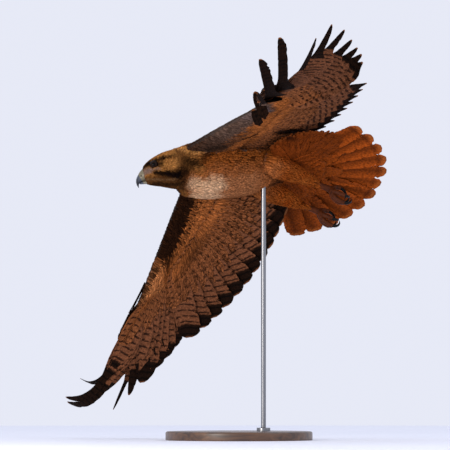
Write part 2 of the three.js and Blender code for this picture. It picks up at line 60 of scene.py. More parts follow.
BIRD = turn("z", FLIGHT["heading"]) @ turn("y", FLIGHT["nose_down"]) @ turn("x", FLIGHT["bank"])
HEAD = BIRD.T @ turn("z", HEAD_LOOK["heading"]) @ turn("y", HEAD_LOOK["nose_down"])


def to_row(points):
    return (np.asarray(points) @ BIRD.T + BIRD_AT) / 1000


def from_row(points):
    return (np.asarray(points) * 1000 - BIRD_AT) @ BIRD


def from_head(points):
    return np.asarray(points) @ HEAD.T + HEAD_AT


def in_head(points):
    return (np.asarray(points) - HEAD_AT) @ HEAD


# Small helpers on numbers and arrays of points
def vec(*xyz):
    return np.array(xyz, float)


def unit(v):
    return v / np.maximum(np.linalg.norm(v, axis=-1, keepdims=True), 1e-9)


def mix(a, b, t):
    return a + (b - a) * t


def ramp(x, low, high):
    t = np.clip((np.asarray(x, float) - low) / (high - low), 0, 1)
    return t * t * (3 - 2 * t)


def turned(a, b, degrees):
    return a * math.cos(math.radians(degrees)) + b * math.sin(math.radians(degrees))


def to_left(points):
    """Points with those on the right mirrored to the left"""
    return points * vec(1, 0, 1) + np.abs(points) * vec(0, 1, 0)


def run_distance(points, a, b):
    """Distance of points from the straight run between a and b"""
    way = b - a
    t = np.clip((points - a) @ way / (way @ way), 0, 1)
    return np.linalg.norm(points - a - t[..., None] * way, axis=-1)


def near_run(points, a, b, inner, outer, ragged=0):
    """1 on the run between a and b, falling to 0 at the outer distance"""
    return 1 - ramp(run_distance(points, a, b) + ragged, inner, outer)


def hill(x, middle, half):
    """1 at the middle, falling to 0 a half width away"""
    return 1 - ramp(np.abs(np.asarray(x, float) - middle), 0, half)


def smooth_rows(table, t):
    """Rows of a table at fractional positions, on a smooth run through them all"""
    table = np.asarray(table, float)
    t = np.clip(np.asarray(t, float), 0, len(table) - 1)
    k = np.minimum(t.astype(int), len(table) - 2)
    f = (t - k)[:, None]
    padded = np.vstack([2 * table[0] - table[1], table, 2 * table[-1] - table[-2]])
    a, b, c, d = (padded[k + i] for i in range(4))
    return b + f / 2 * (c - a + f * (2 * a - 5 * b + 4 * c - d + f * (3 * (b - c) + d - a)))


NOISE_WAVES = 7


def noise(points, scale, seed):
    """Soft noise between about -1 and 1 from a few waves that cross at odd angles"""
    waves = np.random.default_rng(seed)
    total = 0
    for _ in range(NOISE_WAVES):
        way = unit(waves.normal(size=3)) * waves.uniform(0.6, 1.7)
        total = total + np.sin(points @ way * (2 * math.pi / scale) + waves.uniform(0, 6.28))
    return total / (NOISE_WAVES / 2)


def tone(red, green, blue):
    """A colour as it should look, as linear light"""
    c = np.array([red, green, blue]) / 255
    return np.where(c > 0.04045, ((c + 0.055) / 1.055) ** 2.4, c / 12.92)


class Surface:
    """A grid of points that feathers grow on, with rows along u and columns along v"""

    def __init__(self, grid, closed, outward=None):
        self.closed = closed
        self.grid = np.asarray(grid, float)
        wide = np.concatenate([self.grid, self.grid[:, :1]], 1) if closed else self.grid
        self.wide = wide
        self.rows, self.columns = wide.shape[0] - 1, wide.shape[1] - 1
        along = np.gradient(wide, axis=0)
        across = np.gradient(wide, axis=1)
        if closed:
            seam = (wide[:, 1] - wide[:, -2]) / 2
            across[:, 0] = across[:, -1] = seam
        self.along, self.across = along, across
        normals = unit(np.cross(across, along))
        if outward is None:
            outward = wide - self.grid.mean(1, keepdims=True)
        self.normals = normals * np.sign(np.sum(normals * outward, -1).mean())

    def blend(self, table, u, v):
        """Values of a table over the grid at fractional rows and columns"""
        if self.closed:
            v = v % self.columns
        i = np.clip(u.astype(int), 0, self.rows - 1)
        j = np.clip(v.astype(int), 0, self.columns - 1)
        f = np.clip(u - i, 0, 1)[..., None]
        g = np.clip(v - j, 0, 1)[..., None]
        low = mix(table[i, j], table[i, j + 1], g)
        high = mix(table[i + 1, j], table[i + 1, j + 1], g)
        return mix(low, high, f)

    def at(self, u, v):
        """Places and outward normals, run straight on past an open edge"""
        point = self.blend(self.wide, u, v)
        over = (u - np.clip(u, 0, self.rows))[..., None]
        point = point + over * self.blend(self.along, u, v)
        if not self.closed:
            over = (v - np.clip(v, 0, self.columns))[..., None]
            point = point + over * self.blend(self.across, u, v)
        return point, unit(self.blend(self.normals, u, v))

    def areas(self):
        """The middle and the area of each cell"""
        w = self.wide
        a, b, c, d = w[:-1, :-1], w[1:, :-1], w[1:, 1:], w[:-1, 1:]
        size = (np.linalg.norm(np.cross(b - a, d - a), axis=-1)
                + np.linalg.norm(np.cross(b - c, d - c), axis=-1)) / 2
        return (a + b + c + d) / 4, size


# Meshes from arrays: each chunk holds points, faces, colours and each point's place on its vane
def leaf_faces(rows, columns):
    """Triangles of a thin closed blade whose underside is one strip from edge to edge"""
    n = columns + 1
    faces = []
    for j in range(rows):
        for i in range(columns):
            a = j * n + i
            faces += [(a, a + 1, a + n + 1), (a, a + n + 1, a + n)]
        left, right = j * n, j * n + columns
        faces += [(left, right + n, right), (left, left + n, right + n)]
    last = rows * n
    for i in range(1, columns):
        faces += [(0, i + 1, i), (last, last + i, last + i + 1)]
    return np.array(faces)


def add_mesh(name, chunks, material):
    """One piece from chunks of arrays in the bird's frame, with its markings and bake map"""
    starts = np.cumsum([0] + [len(c["points"]) for c in chunks[:-1]])
    points = to_row(np.concatenate([c["points"] for c in chunks]))
    faces = np.concatenate([c["faces"] + s for c, s in zip(chunks, starts)])
    mesh = bpy.data.meshes.new(name)
    mesh.vertices.add(len(points))
    mesh.vertices.foreach_set("co", points.ravel())
    mesh.loops.add(faces.size)
    mesh.loops.foreach_set("vertex_index", faces.ravel())
    mesh.polygons.add(len(faces))
    mesh.polygons.foreach_set("loop_start", np.arange(0, faces.size, 3))
    mesh.polygons.foreach_set("use_smooth", np.ones(len(faces), bool))
    mesh.update(calc_edges=True)
    paint(mesh, np.concatenate([c["colours"] for c in chunks]))
    vanes = np.concatenate([c["vanes"] for c in chunks])
    mesh.attributes.new("vane", "FLOAT_VECTOR", "POINT").data.foreach_set("vector", vanes.ravel())
    for label in {"ink", "own"} & set(chunks[0]):
        values = np.concatenate([c[label] for c in chunks])
        mesh.attributes.new(label, "FLOAT", "POINT").data.foreach_set("value", values)
    bake = np.concatenate([c["bake"] for c in chunks])[faces.ravel()]
    mesh.uv_layers.new(name="OFBake").data.foreach_set("uv", bake.ravel())
    return finish_piece(name, mesh, material)


DARKEST = 0.002


def paint(mesh, colours):
    """Colours of a mesh's points, kept off pure black"""
    rgba = np.concatenate([np.clip(colours, DARKEST, 1), np.ones((len(colours), 1))], 1)
    mesh.attributes.new("plumage", "FLOAT_COLOR", "POINT").data.foreach_set("color", rgba.ravel())


def finish_piece(name, mesh, material):
    """An object for a finished mesh, riding on the one body"""
    piece = bpy.data.objects.new(name, mesh)
    bpy.context.scene.collection.objects.link(piece)
    mesh.materials.append(material)
    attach(piece, "root")
    return piece


# Contour feathers: each is a small leaf laid along a surface, its quill at the skin
LEAF = {"rows": (0, 0.4, 0.8, 1), "widths": (0.25, 0.9, 0.9, 0.35), "columns": (-1, 0, 1),
        "crown": 0.07, "rise": 0.8, "tint": 0.13}
PATCH = 0.003
MAP_RIM = 0.02


def scatter(surface, pitch, keep=1.0):
    """Random roots over the surface, about one in each pitch squared, thinned by what is kept"""
    _, size = surface.areas()
    wanted = size / pitch ** 2 * keep
    count = (wanted + rng.random(wanted.shape)).astype(int).ravel()
    i, j = np.divmod(np.repeat(np.arange(count.size), count), wanted.shape[1])
    return i + rng.random(len(i)), j + rng.random(len(j))


def lay_feathers(surface, u, v, lie, length, width, heights, colour):
    """Leaves along the surface from their roots. The lie is a direction, heights are those of
    quill and tip above the surface, and colour gives each point's from its place and vane."""
    root, normal = surface.at(u, v)
    e_u = surface.blend(surface.along, u, v)
    e_v = surface.blend(surface.across, u, v)
    size_u, size_v = np.linalg.norm(e_u, axis=1), np.linalg.norm(e_v, axis=1)
    e_u, e_v = e_u / size_u[:, None], e_v / np.maximum(size_v, 1e-6)[:, None]
    way = unit(lie - normal * np.sum(lie * normal, 1)[:, None])
    beside = np.cross(way, normal)
    s = np.repeat(LEAF["rows"], len(LEAF["columns"]))
    wide = np.repeat(LEAF["widths"], len(LEAF["columns"]))
    w = np.tile(LEAF["columns"], len(LEAF["rows"]))
    forth = length[:, None] * s
    aside = width[:, None] / 2 * (w * wide)
    step_u = forth * np.sum(way * e_u, 1)[:, None] + aside * np.sum(beside * e_u, 1)[:, None]
    step_v = forth * np.sum(way * e_v, 1)[:, None] + aside * np.sum(beside * e_v, 1)[:, None]
    uu = u[:, None] + step_u / size_u[:, None]
    vv = v[:, None] + step_v / np.maximum(size_v, 1e-6)[:, None]
    place, up = surface.at(uu, vv)
    quill, tip = heights
    crown = LEAF["crown"] * width[:, None] * (1 - np.abs(w)) * np.ones_like(s)
    height = quill[:, None] + (tip - quill)[:, None] * s ** LEAF["rise"] + crown
    points = place + up * height[..., None]
    faces = leaf_faces(len(LEAF["rows"]) - 1, len(LEAF["columns"]) - 1)
    all_faces = (faces[None] + len(s) * np.arange(len(u))[:, None, None]).reshape(-1, 3)
    own = rng.uniform(0, 12, (len(u), 1)) * np.ones_like(forth)
    vanes = np.stack([forth, aside, own], -1).reshape(-1, 3)
    tint = rng.normal(1, LEAF["tint"], (len(u), 1, 1))
    shades = colour(root[:, None, :], place, s[None, :, None], w[None, :, None]) * tint
    patch = np.stack([np.broadcast_to((s - 0.5) * PATCH, forth.shape),
                      np.broadcast_to(w * PATCH / 2, forth.shape)], -1)
    unwrap = np.stack([u / surface.rows, v / surface.columns], -1)[:, None]
    unwrap = unwrap * (1 - 2 * MAP_RIM) + MAP_RIM
    return {"points": points.reshape(-1, 3), "faces": all_faces, "vanes": vanes,
            "colours": shades.reshape(-1, 3), "bake": (unwrap + patch).reshape(-1, 2)}


# Outlines of head, neck and body: x or distance, top, bottom, half width
TRUNK = [[118, 86, -22, 46], [95, 91, -28, 51], [60, 92, -32, 55], [20, 88, -33, 56],
         [-20, 78, -32, 54], [-60, 68, -27, 48], [-92, 57, -21, 42]]
RUMP = [[-92, 57, -21, 42], [-115, 42, -18, 37], [-135, 26, -16, 29], [-155, 10, -14, 16]]
SKULL = [[-30, 35, -49, 36], [-15, 34.5, -43, 33], [0, 31.5, -36.5, 30], [10, 28.5, -32, 28],
         [20, 24.5, -28.5, 23.5], [30, 18.5, -24, 17.5], [37, 12, -20.5, 12.5]]
AROUND = 96
HEAD_ROWS, NECK_ROWS, TRUNK_ROWS = 46, 20, 64
EYE = {"at": vec(10.3, 18.6, 14), "radius": 8.6, "open": (6.4, 4.9)}
EYE_OUT = unit(vec(0.12, 1, 0.1))
BROW = {"front": vec(23, 18.2, 18.4), "back": vec(-1, 27.4, 25.4), "height": 3.4, "half": 4.2}
SOCKET = {"depth": 6.2, "rim": (5.2, 7.6), "dish_depth": 1.0, "dish_rim": (7, 13)}
# Low swellings and hollows of the head: place, height and half width
SWELLS = {"cheek": (vec(-6, 27, -13), 1.6, 12), "lore": (vec(27, 17, 5), -1.4, 7)}


def ovals(rows):
    """Rings from rows of x, top, bottom and half width"""
    angle = np.arange(AROUND) * (2 * math.pi / AROUND)
    x, top, bottom, half = (rows[:, k, None] for k in range(4))
    z = (top + bottom) / 2 + (top - bottom) / 2 * np.sin(angle)
    return np.stack([np.broadcast_to(x, z.shape), half * np.cos(angle), z], -1)


def eye_distance(points):
    """How far head points lie from the axis of the eye on their side, measured along its opening"""
    to = to_left(points) - EYE["at"]
    long, tall = EYE["open"]
    aside = to - (to @ EYE_OUT)[..., None] * EYE_OUT
    return np.linalg.norm(aside * vec(1, 1, long / tall), axis=-1)


def shape_head(points):
    """Brow ridges, eye sockets, cheeks and lores pressed into the plain ovals of the skull"""
    side = np.sign(points[..., 1:2])
    mirror = to_left(points)
    out = unit(mirror * vec(0, 1, 0.6))
    brow = run_distance(mirror, BROW["front"], BROW["back"])
    push = BROW["height"] * np.exp(-((brow / BROW["half"]) ** 2))
    gap = eye_distance(points)
    push = push - SOCKET["depth"] * (1 - ramp(gap, *SOCKET["rim"]))
    push = push - SOCKET["dish_depth"] * (1 - ramp(gap, *SOCKET["dish_rim"]))
    for at, height, half in SWELLS.values():
        push = push + height * np.exp(-np.sum(((mirror - at) / half) ** 2, -1))
    moved = mirror + out * push[..., None]
    moved[..., 1:2] *= side
    return np.where(side == 0, points, moved)


def body_grid():
    """Rings from the face back over head, neck and body to the end of the rump"""
    skull = ovals(smooth_rows(SKULL, np.linspace(len(SKULL) - 1, 0, HEAD_ROWS)))
    below = TRUNK + RUMP[1:]
    trunk = ovals(smooth_rows(below, np.linspace(0, len(below) - 1, TRUNK_ROWS)))
    head_rings = from_head(shape_head(skull))
    nape, throat = head_rings[-1], trunk[0]
    reach = np.linalg.norm(nape - throat, axis=1)[:, None] / 3
    look = HEAD @ vec(1, 0, 0)
    ends = [nape, nape - look * reach, throat + vec(1, 0, 0) * reach, throat]
    neck = []
    for t in np.linspace(0, 1, NECK_ROWS + 2)[1:-1]:
        weights = [(1 - t) ** 3, 3 * t * (1 - t) ** 2, 3 * t * t * (1 - t), t ** 3]
        neck.append(sum(w * e for w, e in zip(weights, ends)))
    return np.concatenate([head_rings, neck, trunk])


body = Surface(body_grid(), closed=True)

# Wings: the same joints, axes and rows of feathers as the solids
SHOULDER = vec(66, 50, 52)
ARM = 220
HAND_SPAN = 118
PRIMARIES = [205, 215, 225, 245, 280, 320, 345, 345, 320, 260]
PRIMARY_ANGLES = [-72, -64, -56, -47, -38, -29, -20.5, -13, -6, 0]
HAND_ROOTS = (10, 95)
SECONDARIES = {"count": 12, "outer": 205, "inner": 170, "width": 50, "ease": 0.9}
TERTIALS = {"count": 4, "outer": 158, "inner": 105, "width": 46}
EARLY = 0.3
VIEW = BIRD.T @ vec(0, 1, 0)
# Feathers are counted from the wrist. For each primary: full as far as a share of its length,
# notched by a share of its width, black over millimetres of its tip, shortened, and as a finger
# veering and bending by degrees from a share of its length on. A thumb feather has root, tip
# and width.
WINGS = [
    {"name": "left", "side": 1,
     "arm": (19.6, -9.8, 4.5), "hand": (14.9, 38.2, -1), "elbow": -93.6, "spread": 1.23,
     "camber": 15.7, "lift": -26.5, "front": (46, 32), "thick": (18, 11),
     "full": (0.55, 0.55, 0.55, 0.55, 0.6, 0.64, 0.62, 0.88, 0.86, 0.8),
     "notch": (0.5, 0.55, 0.6, 0.6, 0.66, 0.7, 0.8, 0.6, 0.56, 0.8),
     "ink": (38, 40, 44, 52, 66, 110, 135, 230, 290, 260),
     "trim": {}, "twist": {},
     "fingers": {9: (-0.6, 11.7, EARLY), 8: (1.4, 26.7, EARLY), 7: (1.5, 25.8, EARLY),
                 6: (-1.1, 6.9, EARLY), 5: (-0.4, 8.9, EARLY)},
     "short": {7: 0.98, 8: 0.94, 9: 0.84, 10: 0.8, 11: 0.78}, "arm_full": 0.6, "arm_notch": 0.55,
     "row_gap": 12.5, "row_share": 0.4, "row_gate": (0.36, 0.48), "speckled": 0.3,
     "thumb": [(vec(56, 246, -48), vec(85, 297, -16), 22),
               (vec(53, 215, -39), vec(80, 257, -30), 18)],
     "thumb_up": VIEW},
    {"name": "right", "side": -1,
     "arm": (12.8, 2.8, 20.4), "hand": (15.1, 21.3, 4), "elbow": -87.1, "spread": 0.53,
     "camber": -5.7, "lift": 0.1, "front": (14, 26), "thick": (14, 8.5),
     "full": (0.84, 0.84, 0.78, 0.72, 0.6, 0.5, 0.6, 0.86, 0.86, 0.8),
     "notch": (0, 0, 0, 0, 0.55, 0.82, 0.72, 0.64, 0.68, 0.62),
     "ink": (38, 40, 44, 52, 62, 85, 100, 135, 155, 125),
     "trim": {4: 0.94}, "twist": {9: 6, 8: 26, 7: 24},
     "fingers": {9: (-5, 78, 0.5), 8: (-0.5, 64, 0.48), 7: (1, 68, 0.5),
                 6: (-5.3, 39.3, EARLY), 5: (-5, 18.4, EARLY)},
     "short": {}, "arm_full": 0.86, "arm_notch": 0,
     "row_gap": 15.0, "row_share": 0.3, "row_gate": (0.3, 0.44), "speckled": 0.14,
     "thumb": [(vec(113, -306, -10), vec(136, -402, -37), 11),
               (vec(113, -300, -8), vec(131, -372, -29), 11)],
     "thumb_up": unit(np.cross(VIEW, vec(22, -90, -26)))},
]
PRIMARY_WIDTH, ARM_FORE, HAND_FORE = 56, 0.36, 0.24


def limb_axes(side, droop, sweep, twist):
    """Directions of an arm or hand: out along the bone, forward chord and the back's normal"""
    d, s = math.radians(droop), math.radians(sweep)
    out = vec(math.cos(d) * math.sin(s), side * math.cos(d) * math.cos(s), -math.sin(d))
    chord = unit(vec(1, 0, 0) - out * out[0])
    up = unit(np.cross(chord, out) * side)
    return out, turned(chord, up, twist), turned(up, chord, -twist)


def primary_row(wing, wrist, out, chord, up):
    """The ten primaries, from the wrist to the wing's tip"""
    row = []
    for k, length in enumerate(PRIMARIES):
        veer, bend, bend_from = wing["fingers"].get(k, (0, 0, EARLY))
        inward = max(0, 5 - k)
        row.append({
            "root": wrist + out * mix(*HAND_ROOTS, k / 9), "up": up, "lead": chord,
            "dir": turned(out, chord, PRIMARY_ANGLES[k] * wing["spread"] + veer),
            "length": length * wing["trim"].get(k, 1), "lift": wing["lift"] * max(0, k - 4) / 5,
            "curl": wing["camber"], "bend": bend, "bend_from": bend_from,
            "twist": wing["twist"].get(k, 0), "width": PRIMARY_WIDTH - 1.5 * abs(k - 4),
            "notch": wing["notch"][k], "full": wing["full"][k], "black": wing["ink"][k],
            "step": (0.42, 0.62) if k > 5 else (0.56 + 0.065 * inward, 0.76 + 0.045 * inward),
            "fore": HAND_FORE if k >= 5 else ARM_FORE, "roll": 4, "level": (4.5 - k) * 0.7,
            "frayed": k > 5})
    return row


def wing_plan(wing):
    """A wing's joints and axes and its rows of long feathers"""
    side = wing["side"]
    plan = dict(wing)
    arm_out, arm_chord, arm_up = limb_axes(side, *wing["arm"])
    hand_out, hand_chord, hand_up = limb_axes(side, *wing["hand"])
    shoulder = SHOULDER * vec(1, side, 1)
    wrist = shoulder + arm_out * ARM
    primaries = primary_row(wing, wrist, hand_out, hand_chord, hand_up)
    inner = turned(arm_out, arm_chord, wing["elbow"])
    secondaries = []
    for j in range(SECONDARIES["count"]):
        f = (j + 0.5) / SECONDARIES["count"]
        w = ((j + 1) / SECONDARIES["count"]) ** SECONDARIES["ease"]
        way = unit(mix(primaries[0]["dir"], inner, w))
        up = mix(hand_up, arm_up, w)
        secondaries.append({
            "root": wrist - arm_out * (0.04 + 0.84 * f) * ARM + arm_chord * (-5 - 38 * f),
            "dir": way, "up": unit(up - way * (up @ way)), "lead": arm_out,
            "length": mix(SECONDARIES["outer"], SECONDARIES["inner"], f) * wing["short"].get(j, 1),
            "lift": 0, "curl": -4.6, "bend": 0, "width": SECONDARIES["width"], "fore": ARM_FORE,
            "roll": 6, "level": 0.2 * (j - 8), "black": 36, "full": wing["arm_full"],
            "notch": wing["arm_notch"], "step": (0.86, 0.98)})
    tertials = []
    last = secondaries[-1]
    for k in range(TERTIALS["count"]):
        f = (k + 1) / TERTIALS["count"]
        tertials.append({**last, "root": last["root"] - arm_out * 12 * (k + 1),
                         "dir": unit(mix(inner, vec(-1, 0, 0), f * 0.6)),
                         "length": mix(TERTIALS["outer"], TERTIALS["inner"], f),
                         "width": TERTIALS["width"], "level": last["level"] + 0.2 * (k + 1),
                         "black": 26})
    alula = []
    for root, tip, wide in wing["thumb"]:
        way = unit(tip - root)
        up = unit(wing["thumb_up"] - way * (wing["thumb_up"] @ way))
        alula.append({"root": root, "dir": way, "up": up, "lead": np.cross(way, up) * side,
                      "length": np.linalg.norm(tip - root), "lift": 0, "curl": 6, "bend": 0,
                      "width": wide, "notch": 0, "fore": 0.45, "roll": 8, "level": 0,
                      "black": 200, "full": 0.55, "slow": 0.18})
    plan.update(arm_out=arm_out, arm_chord=arm_chord, arm_up=arm_up, hand_out=hand_out,
                hand_chord=hand_chord, hand_up=hand_up, shoulder=shoulder, wrist=wrist,
                primaries=primaries, secondaries=secondaries, tertials=tertials, alula=alula,
                crease=unit(primaries[0]["dir"] + secondaries[0]["dir"]))
    return plan


# A wing's flesh in section: rounded leading edge, thickest a fifth back, thin rear edge
TOP_EDGE = [[-1, 0], [-0.93, 0.3], [-0.7, 0.57], [-0.35, 0.82], [0, 0.95], [0.3, 0.97],
            [0.55, 0.8], [0.8, 0.5], [1, 0.2]]
FLESH = {"steps": 70, "columns": 26, "depth": (78, 62, 26), "tip_front": 4, "tip_thick": 3.2}


def along_wing(share):
    """Place at a share of a wing's flesh: 0 at the shoulder, 1 at the wrist and more on the hand"""
    return mix(-0.08, 1 + HAND_SPAN / ARM, share)


def wing_half(plan, face):
    """One face of a wing's flesh: rows from shoulder to hand's end, columns back from the front"""
    profile = smooth_rows(TOP_EDGE, np.linspace(0, len(TOP_EDGE) - 1, FLESH["columns"] + 1))
    at_shoulder, at_wrist, at_tip = FLESH["depth"]
    rows = []
    for k in range(FLESH["steps"] + 1):
        at = along_wing(k / FLESH["steps"])
        f, g = min(at, 1), max(0, (at - 1) * ARM / HAND_SPAN)
        bent = float(ramp(f, 0.3, 1))
        if g == 0:
            back = unit(mix(-plan["arm_chord"], plan["crease"], bent))
            ahead = unit(mix(plan["arm_chord"], plan["hand_chord"], bent / 2))
            middle = plan["shoulder"] + plan["arm_out"] * f * ARM
            front, depth = mix(*plan["front"], f), mix(at_shoulder, at_wrist, f)
            thick = mix(*plan["thick"], f)
        else:
            back = unit(mix(plan["crease"], plan["primaries"][6]["dir"], g * 0.8))
            ahead = unit(mix(plan["arm_chord"], plan["hand_chord"], (1 + g) / 2))
            middle = plan["wrist"] + plan["hand_out"] * g * HAND_SPAN
            front, depth = mix(plan["front"][1], FLESH["tip_front"], g), mix(at_wrist, at_tip, g)
            thick = mix(plan["thick"][1], FLESH["tip_thick"], g ** 1.4)
        up = unit(mix(plan["arm_up"], plan["hand_up"], float(ramp(at, 0.7, 1.3))))
        c, h = profile[:, :1], profile[:, 1:]
        reach = np.where(c < 0, -c * front, 0) * ahead + np.where(c > 0, c * depth, 0) * back
        rows.append(middle + reach + up * h * thick * face)
    return np.array(rows)


# Thighs and the round tubes of legs, toes and claws
THIGH = [[-50, 31, 10, 25], [-80, 35, -12, 24], [-108, 36, -34, 19], [-130, 36, -53, 12]]
ANKLE = vec(-140, 35, -62)
ANKLE_RADIUS = 8.5
FOOT = vec(-168, 35, -82)
TOES = [{"name": "inner", "fan": -34, "length": 36, "talon": 27, "front": 1},
        {"name": "middle", "fan": 2, "length": 44, "talon": 25, "front": 1},
        {"name": "outer", "fan": 40, "length": 38, "talon": 21, "front": 1},
        {"name": "hind", "fan": 6, "length": 24, "talon": 30, "front": -1}]
TOE_RADII = [6.2, 5.1, 4.5, 4.2]
TALON_RADII = [3.4, 3.1, 2.7, 2.1, 1.4, 0.4]


def tube(points, radii, rings, sides, ripple=None):
    """Rings of a round tube along a smooth run, with a radius at each given point"""
    t = np.linspace(0, len(points) - 1, rings)
    rows = smooth_rows(np.column_stack([points, radii]), t)
    middle, radius = rows[:, :3], rows[:, 3]
    tangent = unit(np.gradient(middle, axis=0))
    a = unit(vec(0, 1, 0) - tangent * tangent[:, 1:2])
    b = np.cross(tangent, a)
    angle = np.arange(sides) * (2 * math.pi / sides)
    grow = np.ones((rings, sides)) if ripple is None else ripple(t[:, None], angle[None, :])
    size = radius[:, None] * grow
    return (middle[:, None] + a[:, None] * (size * np.cos(angle))[..., None]
            + b[:, None] * (size * np.sin(angle))[..., None])


def thigh_grid(side):
    run = np.array([row[:3] for row in THIGH] + [ANKLE]) * vec(1, side, 1)
    return tube(run, [row[3] for row in THIGH] + [ANKLE_RADIUS], rings=40, sides=40)


# Shader building blocks
def link(tree, source, target):
    tree.links.new(source, target)


def add_node(tree, kind, **values):
    """A node with some of its settings"""
    node = tree.nodes.new(kind)
    for key, value in values.items():
        setattr(node, key, value)
    return node


def feed(tree, node, **inputs):
    """Fill a node's inputs, by name or as i and a number, with values or other nodes' outputs"""
    for key, value in inputs.items():
        numbered = key[0] == "i" and key[1:].isdigit()
        socket = node.inputs[int(key[1:])] if numbered else node.inputs[key]
        if isinstance(value, bpy.types.NodeSocket):
            link(tree, value, socket)
        else:
            socket.default_value = value
    return node


def maths(tree, operation, a, b=0.0, c=0.0):
    node = feed(tree, add_node(tree, "ShaderNodeMath", operation=operation), i0=a, i1=b, i2=c)
    return node.outputs[0]


def blend_colours(tree, factor, a, b, mode="MIX"):
    node = add_node(tree, "ShaderNodeMix", data_type="RGBA", blend_type=mode)
    feed(tree, node, i0=factor, i6=a, i7=b)
    return node.outputs[2]


def ease(tree, value, low, high):
    """0 below low, 1 above high and smooth between"""
    node = add_node(tree, "ShaderNodeMapRange", interpolation_type="SMOOTHSTEP")
    feed(tree, node, Value=value)
    node.inputs["From Min"].default_value = low
    node.inputs["From Max"].default_value = high
    return node.outputs[0]


def rgba(colour):
    return (*[float(c) for c in colour], 1.0)


def noise_node(tree, place, scale, detail=2.0, **more):
    """Noise over a place, as a value"""
    node = add_node(tree, "ShaderNodeTexNoise")
    return feed(tree, node, Vector=place, Scale=scale, Detail=detail, **more).outputs["Fac"]


def in_place(tree, stretch=None):
    """Where a surface's point lies on the object, stretched if told"""
    place = add_node(tree, "ShaderNodeTexCoord").outputs["Object"]
    if stretch is None:
        return place
    return feed(tree, add_node(tree, "ShaderNodeMapping"), Vector=place, Scale=stretch).outputs[0]


def add_relief(tree, shader, height, strength, distance):
    """Fine relief on a shader, as deep as the distance in metres"""
    relief = feed(tree, add_node(tree, "ShaderNodeBump"), Strength=strength, Height=height)
    relief.inputs["Distance"].default_value = distance
    link(tree, relief.outputs[0], shader.inputs["Normal"])


def new_group(name, ins, outs):
    group = bpy.data.node_groups.new(name, "ShaderNodeTree")
    for label, kind in ins:
        group.interface.new_socket(label, in_out="INPUT", socket_type=kind)
    for label, kind in outs:
        group.interface.new_socket(label, in_out="OUTPUT", socket_type=kind)
    return group, group.nodes.new("NodeGroupInput"), group.nodes.new("NodeGroupOutput")


def barb_group():
    """Fine slanting barbs on a vane and its shaft: a shade for its colour and a height for relief"""
    ins = [("Vane", "NodeSocketVector"), ("Per mm", "NodeSocketFloat"),
           ("Shaft width", "NodeSocketFloat"), ("Shaft shade", "NodeSocketFloat")]
    outs = [("Shade", "NodeSocketFloat"), ("Height", "NodeSocketFloat")]
    group, given, out = new_group("feather barbs", ins, outs)
    parts = feed(group, add_node(group, "ShaderNodeSeparateXYZ"), i0=given.outputs["Vane"])
    aside = maths(group, "ABSOLUTE", parts.outputs["Y"])
    slant = maths(group, "MULTIPLY_ADD", aside, -1.3, parts.outputs["X"])
    wave = maths(group, "SINE", maths(group, "MULTIPLY", slant, given.outputs["Per mm"]))
    patchy = noise_node(group, given.outputs["Vane"], 0.22, 4.0)
    mottled = maths(group, "MULTIPLY_ADD", patchy, 2.3, -0.16)
    shade = maths(group, "MULTIPLY_ADD", wave, 0.1, mottled)
    beside = maths(group, "DIVIDE", aside, given.outputs["Shaft width"])
    on_shaft = feed(group, add_node(group, "ShaderNodeClamp"), Value=maths(group, "SUBTRACT", 1.0, beside))
    on_shaft = on_shaft.outputs[0]
    shaded = maths(group, "MULTIPLY_ADD", on_shaft, given.outputs["Shaft shade"], shade)
    link(group, shaded, out.inputs["Shade"])
    link(group, maths(group, "MULTIPLY_ADD", on_shaft, 3.0, wave), out.inputs["Height"])
    return group


def grain_group():
    """Fine grain at a place: a shade for its colour, of a given range and lift, and a height"""
    ins = [("Place", "NodeSocketVector"), ("Scale", "NodeSocketFloat"),
           ("Detail", "NodeSocketFloat"), ("Range", "NodeSocketFloat"), ("Lift", "NodeSocketFloat")]
    outs = [("Shade", "NodeSocketFloat"), ("Height", "NodeSocketFloat")]
    group, given, out = new_group("fine grain", ins, outs)
    grain = noise_node(group, given.outputs["Place"], given.outputs["Scale"],
                       given.outputs["Detail"])
    shade = maths(group, "MULTIPLY_ADD", grain, given.outputs["Range"], given.outputs["Lift"])
    link(group, shade, out.inputs["Shade"])
    link(group, grain, out.inputs["Height"])
    return group


BARBS = barb_group()
GRAIN = grain_group()


def new_material(name, roughness, **constants):
    material = bpy.data.materials.new(name)
    material.use_nodes = True
    tree = material.node_tree
    shader = tree.nodes["Principled BSDF"]
    shader.inputs["Roughness"].default_value = roughness
    for key, value in constants.items():
        shader.inputs[key.replace("_", " ")].default_value = value
    return material, tree, shader


def attribute(tree, name):
    return add_node(tree, "ShaderNodeAttribute", attribute_name=name)


def plumage_material(name, per_mm, roughness=0.8, shaft=(0.3, -0.3)):
    """Feathers whose markings lie on their points, with barbs on every vane"""
    material, tree, shader = new_material(name, roughness, Specular_IOR_Level=0.02)
    colour = attribute(tree, "plumage").outputs["Color"]
    vane = attribute(tree, "vane").outputs["Vector"]
    barbs = add_node(tree, "ShaderNodeGroup", node_tree=BARBS)
    link(tree, vane, barbs.inputs["Vane"])
    barbs.inputs["Per mm"].default_value = per_mm
    barbs.inputs["Shaft width"].default_value, barbs.inputs["Shaft shade"].default_value = shaft
    shaded = blend_colours(tree, 1.0, colour, barbs.outputs["Shade"], "MULTIPLY")
    add_relief(tree, shader, barbs.outputs["Height"], 0.5, 0.00025)
    return material, tree, shader, shaded, vane


